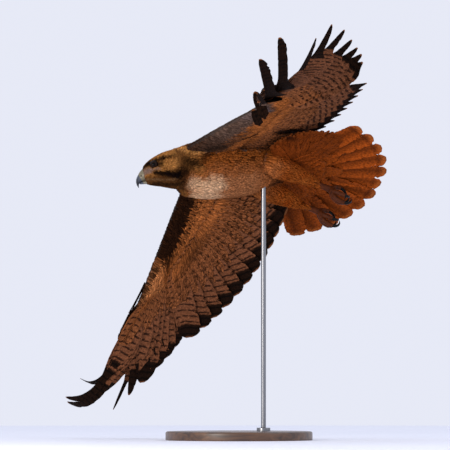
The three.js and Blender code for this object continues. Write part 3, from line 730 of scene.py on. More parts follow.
def flight_material(name, bar, black, tip, period, bar_share, gate=(0.3, 0.44)):
    """Long vanes with dashes across, a black end band and a pale tip"""
    material, tree, shader, shaded, vane = plumage_material(name, 3.6, 0.7, (1.0, 0.3))
    parts = feed(tree, add_node(tree, "ShaderNodeSeparateXYZ"), i0=vane)
    own = attribute(tree, "own").outputs["Fac"]
    place = feed(tree, add_node(tree, "ShaderNodeCombineXYZ"), X=parts.outputs["X"],
                 Y=parts.outputs["Y"], Z=maths(tree, "MULTIPLY", own, 7.0)).outputs[0]
    wobble = noise_node(tree, place, 0.12, 3.0)
    shift = maths(tree, "MULTIPLY_ADD", wobble, 7.0, parts.outputs["X"])
    shift = maths(tree, "MULTIPLY_ADD", own, 0.12, shift)
    aside = maths(tree, "ABSOLUTE", parts.outputs["Y"])
    slant = maths(tree, "MULTIPLY_ADD", aside, 0.22, shift)
    wave = maths(tree, "PINGPONG", slant, period / 2)
    bars = ease(tree, wave, period / 2 * bar_share * 1.25, period / 2 * bar_share * 0.75)
    rim = ease(tree, maths(tree, "ABSOLUTE", parts.outputs["Z"]), 1.02, 0.8)
    kept = maths(tree, "MULTIPLY", ease(tree, noise_node(tree, place, 0.11), *gate), 0.88)
    dashes = maths(tree, "MULTIPLY", maths(tree, "MULTIPLY", bars, rim), kept)
    barred = blend_colours(tree, dashes, shaded, rgba(bar))
    ink = attribute(tree, "ink").outputs["Fac"]
    edge = maths(tree, "MULTIPLY_ADD", wobble, 10.0, ink)
    band = ease(tree, edge, 2.0, 8.0)
    inked = blend_colours(tree, maths(tree, "MULTIPLY", band, 0.95), barred, rgba(black))
    pale = ease(tree, maths(tree, "MULTIPLY_ADD", wobble, 3.0, parts.outputs["X"]), 5.6, 3.6)
    tipped = blend_colours(tree, maths(tree, "MULTIPLY", pale, 0.8), inked, rgba(tip))
    link(tree, tipped, shader.inputs["Base Color"])
    return material


def coat_material(name, per_mm):
    material, tree, shader, shaded, _ = plumage_material(name, per_mm)
    link(tree, shaded, shader.inputs["Base Color"])
    return material


def grained_material(name, roughness, shade, scale, detail, relief, **constants):
    """A surface whose colours lie on the points, with grain: its shade's range and lift, scale
    and detail, and its relief's strength and depth"""
    material, tree, shader = new_material(name, roughness, **constants)
    grain = add_node(tree, "ShaderNodeGroup", node_tree=GRAIN)
    feed(tree, grain, Place=in_place(tree), Scale=scale, Detail=detail, Range=shade[0],
         Lift=shade[1])
    colour = attribute(tree, "plumage").outputs["Color"]
    shaded = blend_colours(tree, 1.0, colour, grain.outputs["Shade"], "MULTIPLY")
    link(tree, shaded, shader.inputs["Base Color"])
    if relief:
        add_relief(tree, shader, grain.outputs["Height"], *relief)
    return material


def horn_material(name, roughness, streak, scale, depth=0.00008, shine=0.3):
    """Horn, scales or lids with fine streaks"""
    return grained_material(name, roughness, (streak, 1 - streak / 2), scale, 5.0, (0.5, depth),
                            Specular_IOR_Level=shine)


# Plumage colours, as linear light
GOLD = tone(178, 120, 62)
# Painted light: a bright gold for the nape, which the lamps here leave in shade
NAPE_PAINTED_LIGHT = tone(222, 154, 84)
CROWN = tone(124, 78, 38)
DARK = tone(13, 6, 3)
DUSK = tone(54, 28, 13)
LORE = tone(134, 110, 100)
STRIPE = tone(118, 86, 56)
CREAM = tone(212, 166, 126)
BUFF = tone(152, 88, 46)
FLANK = tone(152, 82, 32)
MANTLE = tone(58, 36, 25)
MANTLE_EDGE = tone(106, 80, 64)
RUFOUS = tone(124, 56, 14)
LINING = tone(172, 99, 49)
HAND_LINING = tone(200, 132, 82)
PATAGIUM = tone(12, 6, 4)
SLATE = tone(92, 74, 64)
SLATE_PALE = tone(128, 108, 106)
FLIGHT_UNDER = tone(112, 68, 44)
FLIGHT_UPPER = tone(76, 56, 44)
TAIL_UNDER = tone(134, 60, 16)
TAIL_UPPER = tone(140, 60, 18)
TAIL_SMUDGE = tone(58, 24, 8)
TAIL_TIP = tone(158, 84, 36)
PLUME = tone(112, 50, 14)
INK = tone(12, 7, 5)


def over(base, colour, amount):
    return mix(base, colour, np.asarray(amount)[..., None])


# Marks on both sides of the head, seen from the side: colour, strength, ends and half width
HEAD_MARKS = [
    (GOLD, 0.5, (-12, 8), (-26, 5), 7),
    (DARK, 0.92, (26, 18), (-4, 22), 4.6),
    (DARK, 0.7, (-4, 22), (-22, 24), 3.6),
    (DARK, 0.92, (34, 11), (22, 18), 5.4),
    (DARK, 0.9, (20, 14), (2, 12), 5.5),
    (LORE, 0.9, (36, 2), (24, 4), 6.0),
    (LORE, 0.6, (24, 4), (8, 4), 3.2),
    (DARK, 0.97, (14, -3), (-6, -9), 6.5),
    (DARK, 0.95, (-6, -9), (-24, -15), 9),
    (DARK, 0.9, (-24, -15), (-42, -24), 14),
    (STRIPE, 0.8, (38, -11), (8, -18), 2.4),
    (STRIPE, 0.6, (8, -18), (-18, -23), 2.4),
    (DARK, 0.7, (26, -23), (-30, -36), 4.5),
]


def head_colour(points):
    """Markings of the head from places in its own frame"""
    p = in_head(points)
    p = p + np.stack([noise(p, 8, 3), noise(p, 8, 13), noise(p, 6, 14)], -1) * vec(2.0, 0, 1.3)
    shade = over(np.broadcast_to(CROWN, p.shape), GOLD, 0.42 + 0.5 * noise(p, 8, 4))
    shade = over(shade, GOLD, 0.6 * ramp(p[..., 2], 23, 29))
    shade = over(shade, DUSK, 0.8 * ramp(-p[..., 2], 2, 15))
    shade = over(shade, DUSK, 0.5 * ramp(-p[..., 0], 18, 34) * ramp(-p[..., 2], -16, 4))
    side_view = p[..., [0, 2]]
    for colour, strength, a, b, half in HEAD_MARKS:
        mark = near_run(side_view, np.array(a, float), np.array(b, float), half * 0.2, half * 1.3)
        shade = over(shade, colour, strength * mark)
    return shade


NECK_SHADES = [(vec(104, 48, 30), vec(130, 44, 10), 13, 0.55),
               (vec(130, 44, 12), vec(158, 40, -5), 19, 0.66),
               (vec(150, 36, -6), vec(160, 19, -16), 13, 0.8),
               (vec(88, 60, 42), vec(108, 50, 30), 14, 0.5)]
# Run along the nape where light is painted
NAPE_LIGHT_RUN = (vec(160, 40, 50), vec(122, 42, 50))
# Painted shadow under the belly's edge, along the top of the thigh
THIGH_PAINTED_SHADOW = [vec(-50, 0, -28), vec(-70, 3, -25), vec(-82, 22, -30), vec(-92, 38, -44),
               vec(-108, 35, -54)]
PALE_PATCH = {"at": vec(108, 17, -23), "half": vec(42, 23, 17)}


def body_colour(points):
    """Markings of neck and body from places in the bird's frame"""
    p = points
    x, z = p[..., 0], p[..., 2]
    grain = noise(p, 34, 5)
    shade = over(np.broadcast_to(BUFF, p.shape), FLANK, ramp(z + 6 * grain, -16, 18))
    shade = over(shade, RUFOUS, ramp(-x + 10 * grain, 36, 92))
    mirror = to_left(p)
    from_patch = (mirror - PALE_PATCH["at"]) / PALE_PATCH["half"]
    cream = 1 - ramp(np.linalg.norm(from_patch, axis=-1) + 0.16 * grain, 0.55, 1.25)
    shade = over(shade, CREAM, cream)
    belly = ramp(-z + 4 * grain, 12, 26) * ramp(x, -40, 10)
    shade = over(shade, CREAM, 0.12 * belly)
    shade = over(shade, MANTLE, ramp(z + 5 * grain, 34, 48) * (1 - ramp(x + 5 * grain, 112, 130)))
    neck = ramp(x + 4 * grain, 108, 128) * ramp(z, -14, 4)
    shade = over(shade, mix(CROWN, GOLD, 0.4), 0.85 * neck)
    # Painted light on the nape
    shade = over(shade, NAPE_PAINTED_LIGHT, (0.62 + 0.3 * noise(p, 9, 15)) * near_run(mirror, *NAPE_LIGHT_RUN, 8, 22))
    for a, b, half, depth in NECK_SHADES:
        shade = over(shade, DARK, depth * near_run(mirror, a, b, half * 0.3, half, 3 * grain))
    # Painted shadow along the top of the thigh, under the belly
    for a, b in zip(THIGH_PAINTED_SHADOW, THIGH_PAINTED_SHADOW[1:]):
        shade = over(shade, DUSK, 0.75 * near_run(p, a, b, 4, 12, 2 * grain))
    return shade


def coat_colour(points):
    """Markings of head, neck and body run together at the nape"""
    p = in_head(points)
    blend = ramp(p[..., 0] + 3 * noise(points, 15, 6), -42, -26)
    return over(body_colour(points), head_colour(points), blend)


def streaked(root, place, s, w):
    """Each feather's colour: its place's marking, a dark shaft streak, a paler edge, and painted shade
    towards its quill where the feathers ahead overlap it
    """
    base = coat_colour(root) * np.ones_like(place)
    x, z = root[..., 0], root[..., 2]
    streaks = noise(root * vec(0.4, 1, 1), 13, 7)
    bold = hill(x, 18, 85) * ramp(z, -20, -4) * (1 - ramp(z, 30, 44)) * ramp(streaks, 0.25, 0.42)
    shaft = (1 - 0.5 * np.abs(w[..., 0])) * ramp(s[..., 0], 0.2, 0.6)
    base = over(base, DARK, 0.94 * bold * shaft)
    upper = ramp(z, 30, 44) * (1 - ramp(x, 118, 136))
    base = over(base, MANTLE_EDGE, 0.7 * upper * ramp(s[..., 0], 0.75, 1))
    # Darker towards the quill: painted shade under the overlapping feathers
    return base * (0.8 + 0.32 * s)


COAT = coat_material("small feathers", 5.5)
SKIN = grained_material("down over skin", 0.9, (0.5, 0.45), 900.0, 4.0, (0.4, 0.0006))


def feather_sizes(points):
    """Length and width of contour feathers, smallest on the face"""
    p = in_head(points)
    face = ramp(p[..., 0], -30, 30)
    back = ramp(points[..., 2], 26, 48) * (1 - face)
    rear = ramp(-points[..., 0], 40, 120)
    nape = 1 - ramp(points[..., 0], 95, 150)
    length = mix(mix(11.0, 22.0, nape), 4.4, face) + 12 * back * nape + 8 * rear
    width = mix(mix(3.6, 6.4, nape), 1.8, face) + 9 * back * nape + 3 * rear
    return length, width


def coat_depth(points):
    face = ramp(in_head(points)[..., 0], -30, 20)
    return mix(4.5, 1.2, face)


BILL_ROOT = 36.5
BARE_RIM = 0.7


def body_coat(name, first, last):
    """The feathers of one stretch of the body's rings, left out under bill and eyes"""
    patch = Surface(body.grid[first:last + 1], closed=True)
    middle, _ = patch.areas()
    length, width = feather_sizes(middle)
    there = in_head(middle)
    ahead = there[..., 0]
    pitch = np.sqrt(length * width) * mix(0.28, 0.36, ramp(ahead, -20, 20))
    on_eye = (eye_distance(there) < EYE["open"][0] + BARE_RIM) & (ahead > -6)
    u, v = scatter(patch, pitch, 1.0 * ~((ahead > BILL_ROOT) | on_eye))
    root, normal = patch.at(u, v)
    length, width = feather_sizes(root)
    length = length * rng.uniform(0.8, 1.15, len(u))
    lie = patch.blend(patch.along, u, v)
    lie = lie / np.linalg.norm(lie, axis=1)[:, None]
    side = np.cross(normal, lie)
    lie = lie + side * rng.normal(0, 0.12, (len(u), 1))
    depth = coat_depth(root)
    heights = (-depth * rng.uniform(0.85, 1.0, len(u)), depth * rng.uniform(-0.12, 0.12, len(u)))
    chunk = lay_feathers(body, u + first, v, lie, length, width, heights, streaked)
    add_mesh(name, [chunk], COAT)


FACE_END = HEAD_ROWS - 14
NECK_END = HEAD_ROWS + NECK_ROWS
body_coat("coat_face", 0, FACE_END)
body_coat("coat_nape", FACE_END, NECK_END)
body_coat("coat_trunk", NECK_END, NECK_END + TRUNK_ROWS - 1)

# Thigh feathers
thighs = {side: Surface(thigh_grid(side), closed=True) for side in (1, -1)}
THIGH_FEATHER = {"pitch": 3.4, "length": (18, 26), "width": 7.0, "depth": 3.5, "loose": 0.6}


def thigh_colour(points):
    grain = noise(points, 25, 8)
    lower = over(np.broadcast_to(RUFOUS, points.shape), FLANK, 0.35 + 0.3 * grain)
    return over(body_colour(points), lower, ramp(-points[..., 2] + 4 * grain, 8, 34))


def thigh_coat(side, name):
    surface = thighs[side]
    u, v = scatter(surface, THIGH_FEATHER["pitch"])
    lie = unit(surface.blend(surface.along, u, v))
    lie = lie + rng.normal(0, 0.08, lie.shape)
    smaller = mix(1, 0.7, u / surface.rows)
    length = rng.uniform(*THIGH_FEATHER["length"], len(u)) * smaller
    width = THIGH_FEATHER["width"] * smaller
    loose = THIGH_FEATHER["loose"]
    heights = (np.full(len(u), -THIGH_FEATHER["depth"]), rng.uniform(-loose, loose, len(u)))

    def colour(root, place, s, w):
        # Darker towards the quill: painted shade under the overlapping feathers
        return thigh_colour(root) * np.ones_like(place) * (0.8 + 0.3 * s)

    chunk = lay_feathers(surface, u, v, lie, length, width, heights, colour)
    add_mesh(name, [chunk], COAT)


thigh_coat(1, "coat_thigh_left")
thigh_coat(-1, "coat_thigh_right")


# Long vanes of wing and tail
LONG_ROWS = 40
SHORT_ROWS = 18
COLUMNS = np.array([-1, -0.94, -0.62, -0.3, -0.05, 0, 0.05, 0.5, 0.92, 1])
VANE = {"half_thick": 0.3, "cup": 0.05, "shaft": 0.05, "rim": 0.9, "splits": 3,
        "split_depth": (0.1, 0.3)}


def vane_width(u, notch, step, slow, full):
    """A quill, a blade that is full as far as a given share, a rounded tip, and a narrow finger
    where the vane is notched"""
    tip = np.sqrt(np.clip(1 - (np.clip(u - full, 0, 1) / (1.004 - full)) ** 2.2, 0.004, 1))
    return (0.2 + 0.8 * ramp(u, 0.02, slow)) * tip * (1 - notch * ramp(u, *step))


def shaft_line(spec, at):
    """Places and headings along a shaft that lifts, curls and bends out of its wing's plane"""
    fine = np.linspace(0, 1, 241)
    middle = (fine[1:] + fine[:-1]) / 2
    late = spec.get("bend_from", EARLY)

    def heading(u):
        bend = spec["bend"] * ramp(u, late, late + 0.5)
        angle = np.radians(spec["lift"] + spec["curl"] * u ** 1.5 + bend)
        return np.cos(angle)[:, None] * spec["dir"] + np.sin(angle)[:, None] * spec["up"]

    steps = heading(middle) * (spec["length"] / len(middle))
    run = np.concatenate([[spec["root"]], spec["root"] + np.cumsum(steps, 0)])
    place = np.stack([np.interp(at, fine, run[:, k]) for k in range(3)], -1)
    return place, heading(at)


def long_vane(spec, rows, colour_top, colour_under, cell, rachis):
    """One closed vane: shaft, cupped blade, ragged edges and a few splits between barbs"""
    columns = COLUMNS
    at = np.concatenate([np.linspace(0, 0.8, rows - 9), np.linspace(0.8, 1, 11)[1:]])
    place, heading = shaft_line(spec, at)
    across = unit(spec["lead"] - heading * (heading @ spec["lead"])[:, None])
    rise = np.cross(across, heading)
    rise = rise * np.sign(rise @ spec["up"])[:, None]
    roll = np.radians(spec["roll"] + spec.get("twist", 0) * ramp(at, 0.45, 0.8))[:, None]
    b = across * np.cos(roll) + rise * np.sin(roll)
    n = rise * np.cos(roll) - across * np.sin(roll)
    width = spec["width"] * vane_width(at, spec["notch"], spec.get("step", (0.42, 0.62)),
                                       spec.get("slow", 0.3), spec["full"])
    lean = np.where(columns > 0, spec["fore"], 1 - spec["fore"]) * columns
    aside = width[:, None] * lean
    fray = mix(0.03, 0.16 if spec.get("frayed") else 0.07, ramp(at, 0.7, 0.95))[:, None]
    ragged = rng.normal(0, 1, aside.shape) * fray * (np.abs(columns) > VANE["rim"])
    splits = rng.integers(rows // 3, rows - 2, VANE["splits"])
    for k in splits:
        ragged[k, 0] -= rng.uniform(*VANE["split_depth"])
    aside = aside * (1 - np.abs(ragged))
    droop = -VANE["cup"] * width[:, None] * columns ** 2
    quill = rachis * mix(1, 0.25, at)[:, None] * np.exp(-((columns / VANE["shaft"]) ** 2))
    base = (place + rise * spec["level"])[:, None] + b[:, None] * aside[..., None]
    faces_at = [base + n[:, None] * (droop + sign * (VANE["half_thick"] + quill * share))[..., None]
                for sign, share in ((1, 0.6), (-1, 1.0))]
    count, m = len(at), len(columns)
    points = np.concatenate([f.reshape(-1, 3) for f in faces_at])
    tip_gap = (1 - at)[:, None] * spec["length"] * np.ones(m)
    vanes = np.stack([tip_gap, aside, columns * np.ones_like(aside)], -1).reshape(-1, 3)
    own = np.full(aside.size * 2, rng.uniform(0, 12))
    ink = (spec["black"] - tip_gap - 0.25 * np.abs(aside)).reshape(-1)
    colours = np.concatenate([colour_top(faces_at[0], at, columns).reshape(-1, 3),
                              colour_under(faces_at[1], at, columns).reshape(-1, 3)])
    column, total = cell
    u = np.broadcast_to((column + 0.08 + 0.84 * (columns + 1) / 2) / total, aside.shape)
    v = np.broadcast_to(MAP_RIM + 0.46 * at[:, None], aside.shape)
    bakes = [np.stack([u, v + 0.5 * face], -1).reshape(-1, 2) for face in (0, 1)]
    return {"points": points, "faces": vane_faces(count, m, spec), "vanes": np.tile(vanes, (2, 1)),
            "ink": np.tile(ink, 2), "own": own, "colours": colours, "bake": np.concatenate(bakes)}


def vane_faces(count, m, spec):
    """Triangles of a vane's two faces, its edges and its ends"""
    j, i = np.meshgrid(np.arange(count - 1), np.arange(m - 1), indexing="ij")
    a = (j * m + i).ravel()
    quads = [np.stack([a, a + 1, a + m + 1, a + m], -1)]
    low = count * m
    quads.append(np.stack([a + low, a + m + low, a + m + 1 + low, a + 1 + low], -1))
    j = np.arange(count - 1)
    for edge, flip in ((0, False), (m - 1, True)):
        near, far = j * m + edge, (j + 1) * m + edge
        side = np.stack([near, far, far + low, near + low], -1)
        quads.append(side[:, ::-1] if flip else side)
    i = np.arange(m - 1)
    for row, flip in ((0, True), (count - 1, False)):
        near, far = row * m + i, row * m + i + 1
        end = np.stack([near, far, far + low, near + low], -1)
        quads.append(end[:, ::-1] if flip else end)
    quads = np.concatenate(quads)
    faces = np.concatenate([quads[:, :3], quads[:, [0, 2, 3]]])
    outward = np.cross(spec["lead"], spec["dir"]) @ spec["up"] > 0
    return faces if outward else faces[:, ::-1]


# Painted shadow where the left wing meets the body: ends of each run, half width and strength
WING_ROOT_PAINTED_SHADOWS = [(vec(-50, 124, 9), vec(-106, 118, 4), 20, 0.96),
                (vec(14, 122, 9), vec(38, 111, 11), 9, 0.8),
                (vec(86, 64, 37), vec(70, 78, 30), 15, 0.85)]


def shadowed(shade, points):
    """Painted shadow: dark patches where the left wing meets the body"""
    for a, b, half, amount in WING_ROOT_PAINTED_SHADOWS:
        shade = over(shade, DARK, amount * near_run(points, a, b, half * 0.4, half))
    return shade


def flat_colour(base, low, high, rim=0.2, vary=0.1):
    """A vane's ground colour from its quill to its tip, paler along its edges, with painted shadow where
    the left wing meets the body
    """
    def colour(place, at, columns):
        shade = mix(low, high, at)[:, None, None] * rng.normal(1, vary)
        edge = (0.94 + rim * np.abs(columns) ** 6)[None, :, None]
        return shadowed(base * shade * edge, place)
    return colour


FLIGHT_MATERIALS = {
    wing["name"]: flight_material(f"flight feathers {wing['name']}", tone(30, 16, 11), INK,
                                  tone(132, 80, 46), wing["row_gap"], wing["row_share"],
                                  wing["row_gate"])
    for wing in WINGS}
TAIL_MATERIAL = flight_material("tail feathers", tone(80, 34, 10), tone(70, 30, 12),
                                tone(150, 80, 36), 200.0, 0.02)
# Coverts of hand and arm, and those between them: length, start behind the root, height, width
HAND_COVERTS, ARM_COVERTS = (88, 16, 5, 34), (100, 18, 8, 40)
HAND_BETWEEN, ARM_BETWEEN = (84, 14, 5.6, 34), (96, 16, 8.6, 38)
UNINKED = -20
REST = 1.6


def covert_row(row, face, sizes):
    """Coverts over one row of flight feathers, on one face of the wing: each starts off the
    flesh, follows its feather's own bend and comes to rest on its vane"""
    length, start, stand, width = sizes
    made = []
    for feather in row:
        reach = length * rng.uniform(0.95, 1.05)
        bend = feather["curl"] * (reach / feather["length"]) ** 1.5
        settle = math.degrees(math.asin((stand - REST) / reach))
        root = feather["root"] + feather["dir"] * start + feather["up"] * face * stand
        made.append({**feather, "root": root, "length": reach, "width": width, "notch": 0,
                     "bend": 0, "twist": 0, "lift": feather["lift"] - face * settle, "curl": bend,
                     "fore": 0.45, "black": UNINKED, "full": 0.8})
    return made


def flight_chunks(specs, top, under, rows=LONG_ROWS, rachis=1.5):
    return [long_vane(spec, rows, top, under, (k, len(specs)), rachis)
            for k, spec in enumerate(specs)]


def build_flights(plan):
    """The long feathers of a wing and the coverts over them on both faces"""
    rows = plan["primaries"] + plan["secondaries"] + plan["tertials"]
    chunks = flight_chunks(rows + plan["alula"], flat_colour(FLIGHT_UPPER, 0.9, 1.1),
                           flat_colour(FLIGHT_UNDER, 1.15, 1.0, 0.05, 0.05))
    piece = add_mesh(f"flight_feathers_{plan['name']}", chunks,
                     FLIGHT_MATERIALS[plan["name"]])
    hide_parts(f"wing_{plan['name']}_hand")
    hand, arm = plan["primaries"], plan["secondaries"] + plan["tertials"]
    for face, name, ground, material in ((1, "upper", MANTLE, COVERT_UPPER),
                                         (-1, "under", COVERT_GROUND, COVERT_UNDER)):
        outer, inner = covert_row(hand, face, HAND_COVERTS), covert_row(arm, face, ARM_COVERTS)
        plan["coverts", face] = outer[::-1] + inner
        specs = outer + inner + covert_row(midway(hand), face, HAND_BETWEEN)
        specs += covert_row(midway(arm), face, ARM_BETWEEN)
        shades = flat_colour(ground, 0.85, 1.05, 0.05, 0.05)
        chunks = flight_chunks(specs, shades, shades, SHORT_ROWS, rachis=0.6)
        add_mesh(f"coverts_{name}_{plan['name']}", chunks, material)


def midway(row):
    """Feathers halfway between neighbours in a row"""
    between = []
    for a, b in zip(row, row[1:]):
        made = dict(a)
        for key in ("root", "dir", "up", "length", "lift", "curl", "width"):
            made[key] = (a[key] + b[key]) / 2
        made["dir"], made["up"] = unit(made["dir"]), unit(made["up"])
        between.append(made)
    return between


LINING_MID = mix(LINING, FLIGHT_UNDER, 0.45)
COVERT_GROUND = mix(LINING, FLIGHT_UNDER, 0.7)
COVERT_UPPER = flight_material("upper coverts", tone(40, 26, 20), INK, tone(112, 88, 72), 60.0, 0.05)
COVERT_UNDER = flight_material("under coverts", tone(34, 19, 13), INK, tone(120, 76, 50), 15.0, 0.3)
plans = [wing_plan(wing) for wing in WINGS]
for plan in plans:
    build_flights(plan)


# Linings: small feathers over both faces of each wing's flesh
def wing_colour(plan, f, c, under):
    """Marking of a wing's flesh at f along the wing and c back from its front"""
    if not under:
        grey = 0.85 * (1 - ramp(c, 0.3, 0.75)) * ramp(f, 0.1, 0.42)
        return over(np.broadcast_to(MANTLE, (*f.shape, 3)), SLATE, grey)
    rear = ramp(c, 0.7, 1.05) * ramp(f, 0.2, 0.6)
    shade = over(np.broadcast_to(LINING, (*f.shape, 3)), LINING_MID, rear)
    if plan["side"] > 0:
        shade = over(shade, PATAGIUM, 0.8 * hill(c, 0.5, 0.14) * (1 - ramp(f, 0.4, 0.6)))
        shade = over(shade, PATAGIUM, 0.96 * (1 - ramp(f, 0.35, 0.75)) * ramp(c, 0.62, 0.9))
        shade = over(shade, SLATE, 0.95 * (1 - ramp(c, 0.34, 0.46)))
        shade = over(shade, DUSK, 0.75 * (1 - ramp(f, 0.14, 0.42)) * (1 - ramp(c, 0.4, 0.52)))
        return over(shade, SLATE_PALE, 0.8 * hill(f, 0.95, 0.3) * (1 - ramp(c, 0.3, 0.4)))
    bar = (1 - ramp(c, 0.4, 0.6)) * ramp(f, -0.1, 0.05) * (1 - ramp(f, 0.9, 1.02))
    shade = over(shade, HAND_LINING, 0.5 * ramp(f, 0.9, 1.1))
    shade = over(shade, PATAGIUM, 0.96 * bar)
    shade = over(shade, PATAGIUM, 0.85 * (1 - ramp(c, 0.1, 0.2)) * ramp(f, 0.95, 1.05))
    shade = over(shade, DUSK, 0.75 * hill(f, 0.72, 0.34) * ramp(c, 0.55, 0.95))
    shade = over(shade, PATAGIUM, 0.7 * hill(f, 1.14, 0.1) * ramp(c, 0.6, 0.85))
    shade = over(shade, PATAGIUM, 0.5 * hill(f, 1.36, 0.08) * (1 - ramp(c, 0.5, 0.8)))
    return over(shade, FLIGHT_UNDER, ramp(f, 1.36, 1.48) * ramp(c, 0.1, 0.4))


def small_leaves(plan, face, surface, u, v, lie, length, width, quill, shade, dark):
    """Small feathers of a wing: their markings, some dark centres, pale edges above, painted shadow where
    the left wing meets the body, and painted shade towards each quill under the feathers that overlap it
    """
    def colour(root, place, s, w):
        centre = dark[:, None] * (1 - 0.4 * np.abs(w[..., 0])) * ramp(s[..., 0], 0.4, 0.8)
        base = over(shade[:, None] * np.ones_like(place), INK, 0.8 * centre)
        base = shadowed(base, root)
        slate = (np.linalg.norm(shade - SLATE, axis=1) < 0.09)[:, None]
        edge = 0.5 * ramp(s[..., 0], 0.7, 1) * slate * (face > 0 or plan["side"] > 0)
        # Darker towards the quill: painted shade under the overlapping feathers
        return over(base, MANTLE_EDGE, edge) * (0.8 + 0.32 * s)

    heights = (quill, rng.uniform(-0.4, 0.9, len(u)))
    return lay_feathers(surface, u, v, lie, length, width, heights, colour)


halves = {}
WING_LEAF_PITCH, COVERT_LEAF_PITCH = 2.6, 3.0


def wing_coat(plan, face):
    """The small feathers over one face of a wing's flesh and over the coverts behind it"""
    grid = wing_half(plan, face)
    surface = Surface(grid, closed=False, outward=plan["arm_up"] * face)
    halves[plan["name"], face] = grid
    u, v = scatter(surface, WING_LEAF_PITCH)
    c = v / surface.columns
    f = along_wing(u / surface.rows)
    back = surface.blend(surface.across, u, v)
    out = surface.blend(surface.along, u, v)
    lean = (0.25 + 0.45 * ramp(f, 0.9, 1.4))[:, None]
    lie = unit(back) + unit(out) * lean + rng.normal(0, 0.07, back.shape)
    length = mix(8, 20, c) * rng.uniform(0.85, 1.15, len(u)) * mix(1, 0.8, ramp(f, 1, 1.5))
    if face < 0 < plan["side"]:
        length = length * (1 - 0.75 * ramp(f, 0.95, 1.05) * ramp(c, 0.7, 0.9))
    width = mix(3.6, 7.5, c)
    grain = rng.normal(0, 0.035, (2, len(u)))
    shade = wing_colour(plan, f + grain[0], c + grain[1], face < 0)
    shade = shade * rng.normal(1, 0.12, (len(u), 1))
    speckled = (rng.random(len(u)) < plan["speckled"]) * mix(0.35, 0.7, ramp(c, 0.4, 1)) * (face < 0)
    quill = -mix(0.2, 2.2, ramp(c, 0.02, 0.2))
    chunks = [small_leaves(plan, face, surface, u, v, lie, length, width, quill, shade, speckled),
              covert_leaves(plan, face)]
    name = f"lining_{'upper' if face > 0 else 'under'}_{plan['name']}"
    add_mesh(name, chunks, COAT)


def covert_leaves(plan, face):
    """Small feathers over the long coverts, thinning out before their tips, in rows of dark dashes"""
    at = np.linspace(0, 1, 12)
    rows = []
    for spec in plan["coverts", face]:
        rows.append(shaft_line(spec, at)[0] + spec["up"] * (spec["level"] + face * 2.4))
    surface = Surface(np.array(rows), closed=False, outward=plan["arm_up"] * face)
    fade = 1 - ramp(np.arange(surface.columns) + 0.5, 0.7 * surface.columns, surface.columns)
    u, v = scatter(surface, COVERT_LEAF_PITCH, fade)
    back = surface.blend(surface.across, u, v)
    lie = unit(back) + rng.normal(0, 0.06, back.shape)
    share = v / surface.columns
    hand = 1 - ramp(u, 7, 11)
    length = mix(15, 11, share) * rng.uniform(0.85, 1.15, len(u))
    width = mix(6.0, 6.5, share)
    shade = MANTLE * np.ones((len(u), 3))
    if face < 0:
        shade = mix(LINING_MID, COVERT_GROUND, ramp(share, 0.1, 0.6)[:, None])
        shade = over(shade, LINING, (1 - ramp(share, 0.0, 0.35)) * mix(0.8, 0.35, hand))
        on_right = 0.7 * hill(u, 14, 5) * hill(share, 0.12, 0.3)
        # On the left: painted shadow at the armpit over the inner coverts; on the right: a dusky patch
        shade = over(shade, DUSK, on_right if plan["side"] < 0 else hill(u, 24, 8))
    depth = (share * 94 + length + 3 * noise(surface.at(u, v)[0], 60, 12)) / plan["row_gap"]
    rowed = ramp(hill(depth % 1, 0.5, 0.42), 0, 0.6) * ramp(share, 0.02, 0.3) * (face < 0)
    rowed = rowed * ramp(hill(u % 1, 0.5, 0.5), 0.1, 0.5)
    quill = np.full(len(u), -1.0)
    inked = rowed * (rng.random(len(u)) < 0.85)
    return small_leaves(plan, face, surface, u, v, lie, length, width, quill, shade, inked)


for plan in plans:
    for face in (1, -1):
        wing_coat(plan, face)

# Tail: twelve feathers in a fan, with coverts above and below
TAIL = {"at": vec(-107, 0, 8), "pitch": 19.7, "yaw": 1.7, "twist": 6.5, "spread": (57, 62),
        "count": 12, "half_root": 25, "length": 212, "outer_shorter": 15, "width": 46, "step": 1.4}
TAIL_COVERTS = {1: 96, -1: 112}
TAIL_COVERT = {"width": 40, "gap": 7, "further": 3, "shorter": 0.72}
# Plumes beside the tail's base: side, first and last angle, longest and shortest
PLUMES = [(1, 54, 136, 172, 90), (-1, 60, 84, 90, 50)]
PLUME_VANE = {"apart": 0.9, "width": 22, "curl": 3, "black": UNINKED, "full": 0.3}


def tail_rows():
    """The tail's long feathers, and its directions up, back and left"""
    pitch, yaw = math.radians(TAIL["pitch"]), math.radians(TAIL["yaw"])
    back = -vec(math.cos(pitch) * math.cos(yaw), math.cos(pitch) * math.sin(yaw), math.sin(pitch))
    level = unit(vec(0, 1, 0) - back * back[1])
    left = turned(level, np.cross(level, back), -TAIL["twist"])
    up = np.cross(left, back)
    middle = (TAIL["count"] - 1) / 2
    row = []
    for i in range(TAIL["count"]):
        f = (i - middle) / middle
        row.append({"root": TAIL["at"] + left * f * TAIL["half_root"], "up": up,
                    "dir": turned(back, left, f * TAIL["spread"][0 if f < 0 else 1]),
                    "lead": left * np.sign(f),
                    "length": TAIL["length"] - TAIL["outer_shorter"] * f * f + rng.uniform(-4, 2),
                    "width": TAIL["width"], "fore": 0.42, "curl": -3, "slow": 0.16, "lift": 0,
                    "bend": 0, "notch": 0, "roll": 0, "black": 0, "full": 0.88, "frayed": True,
                    "level": 4 - TAIL["step"] * abs(i - middle - 0.25)})
    return row, up, back, left


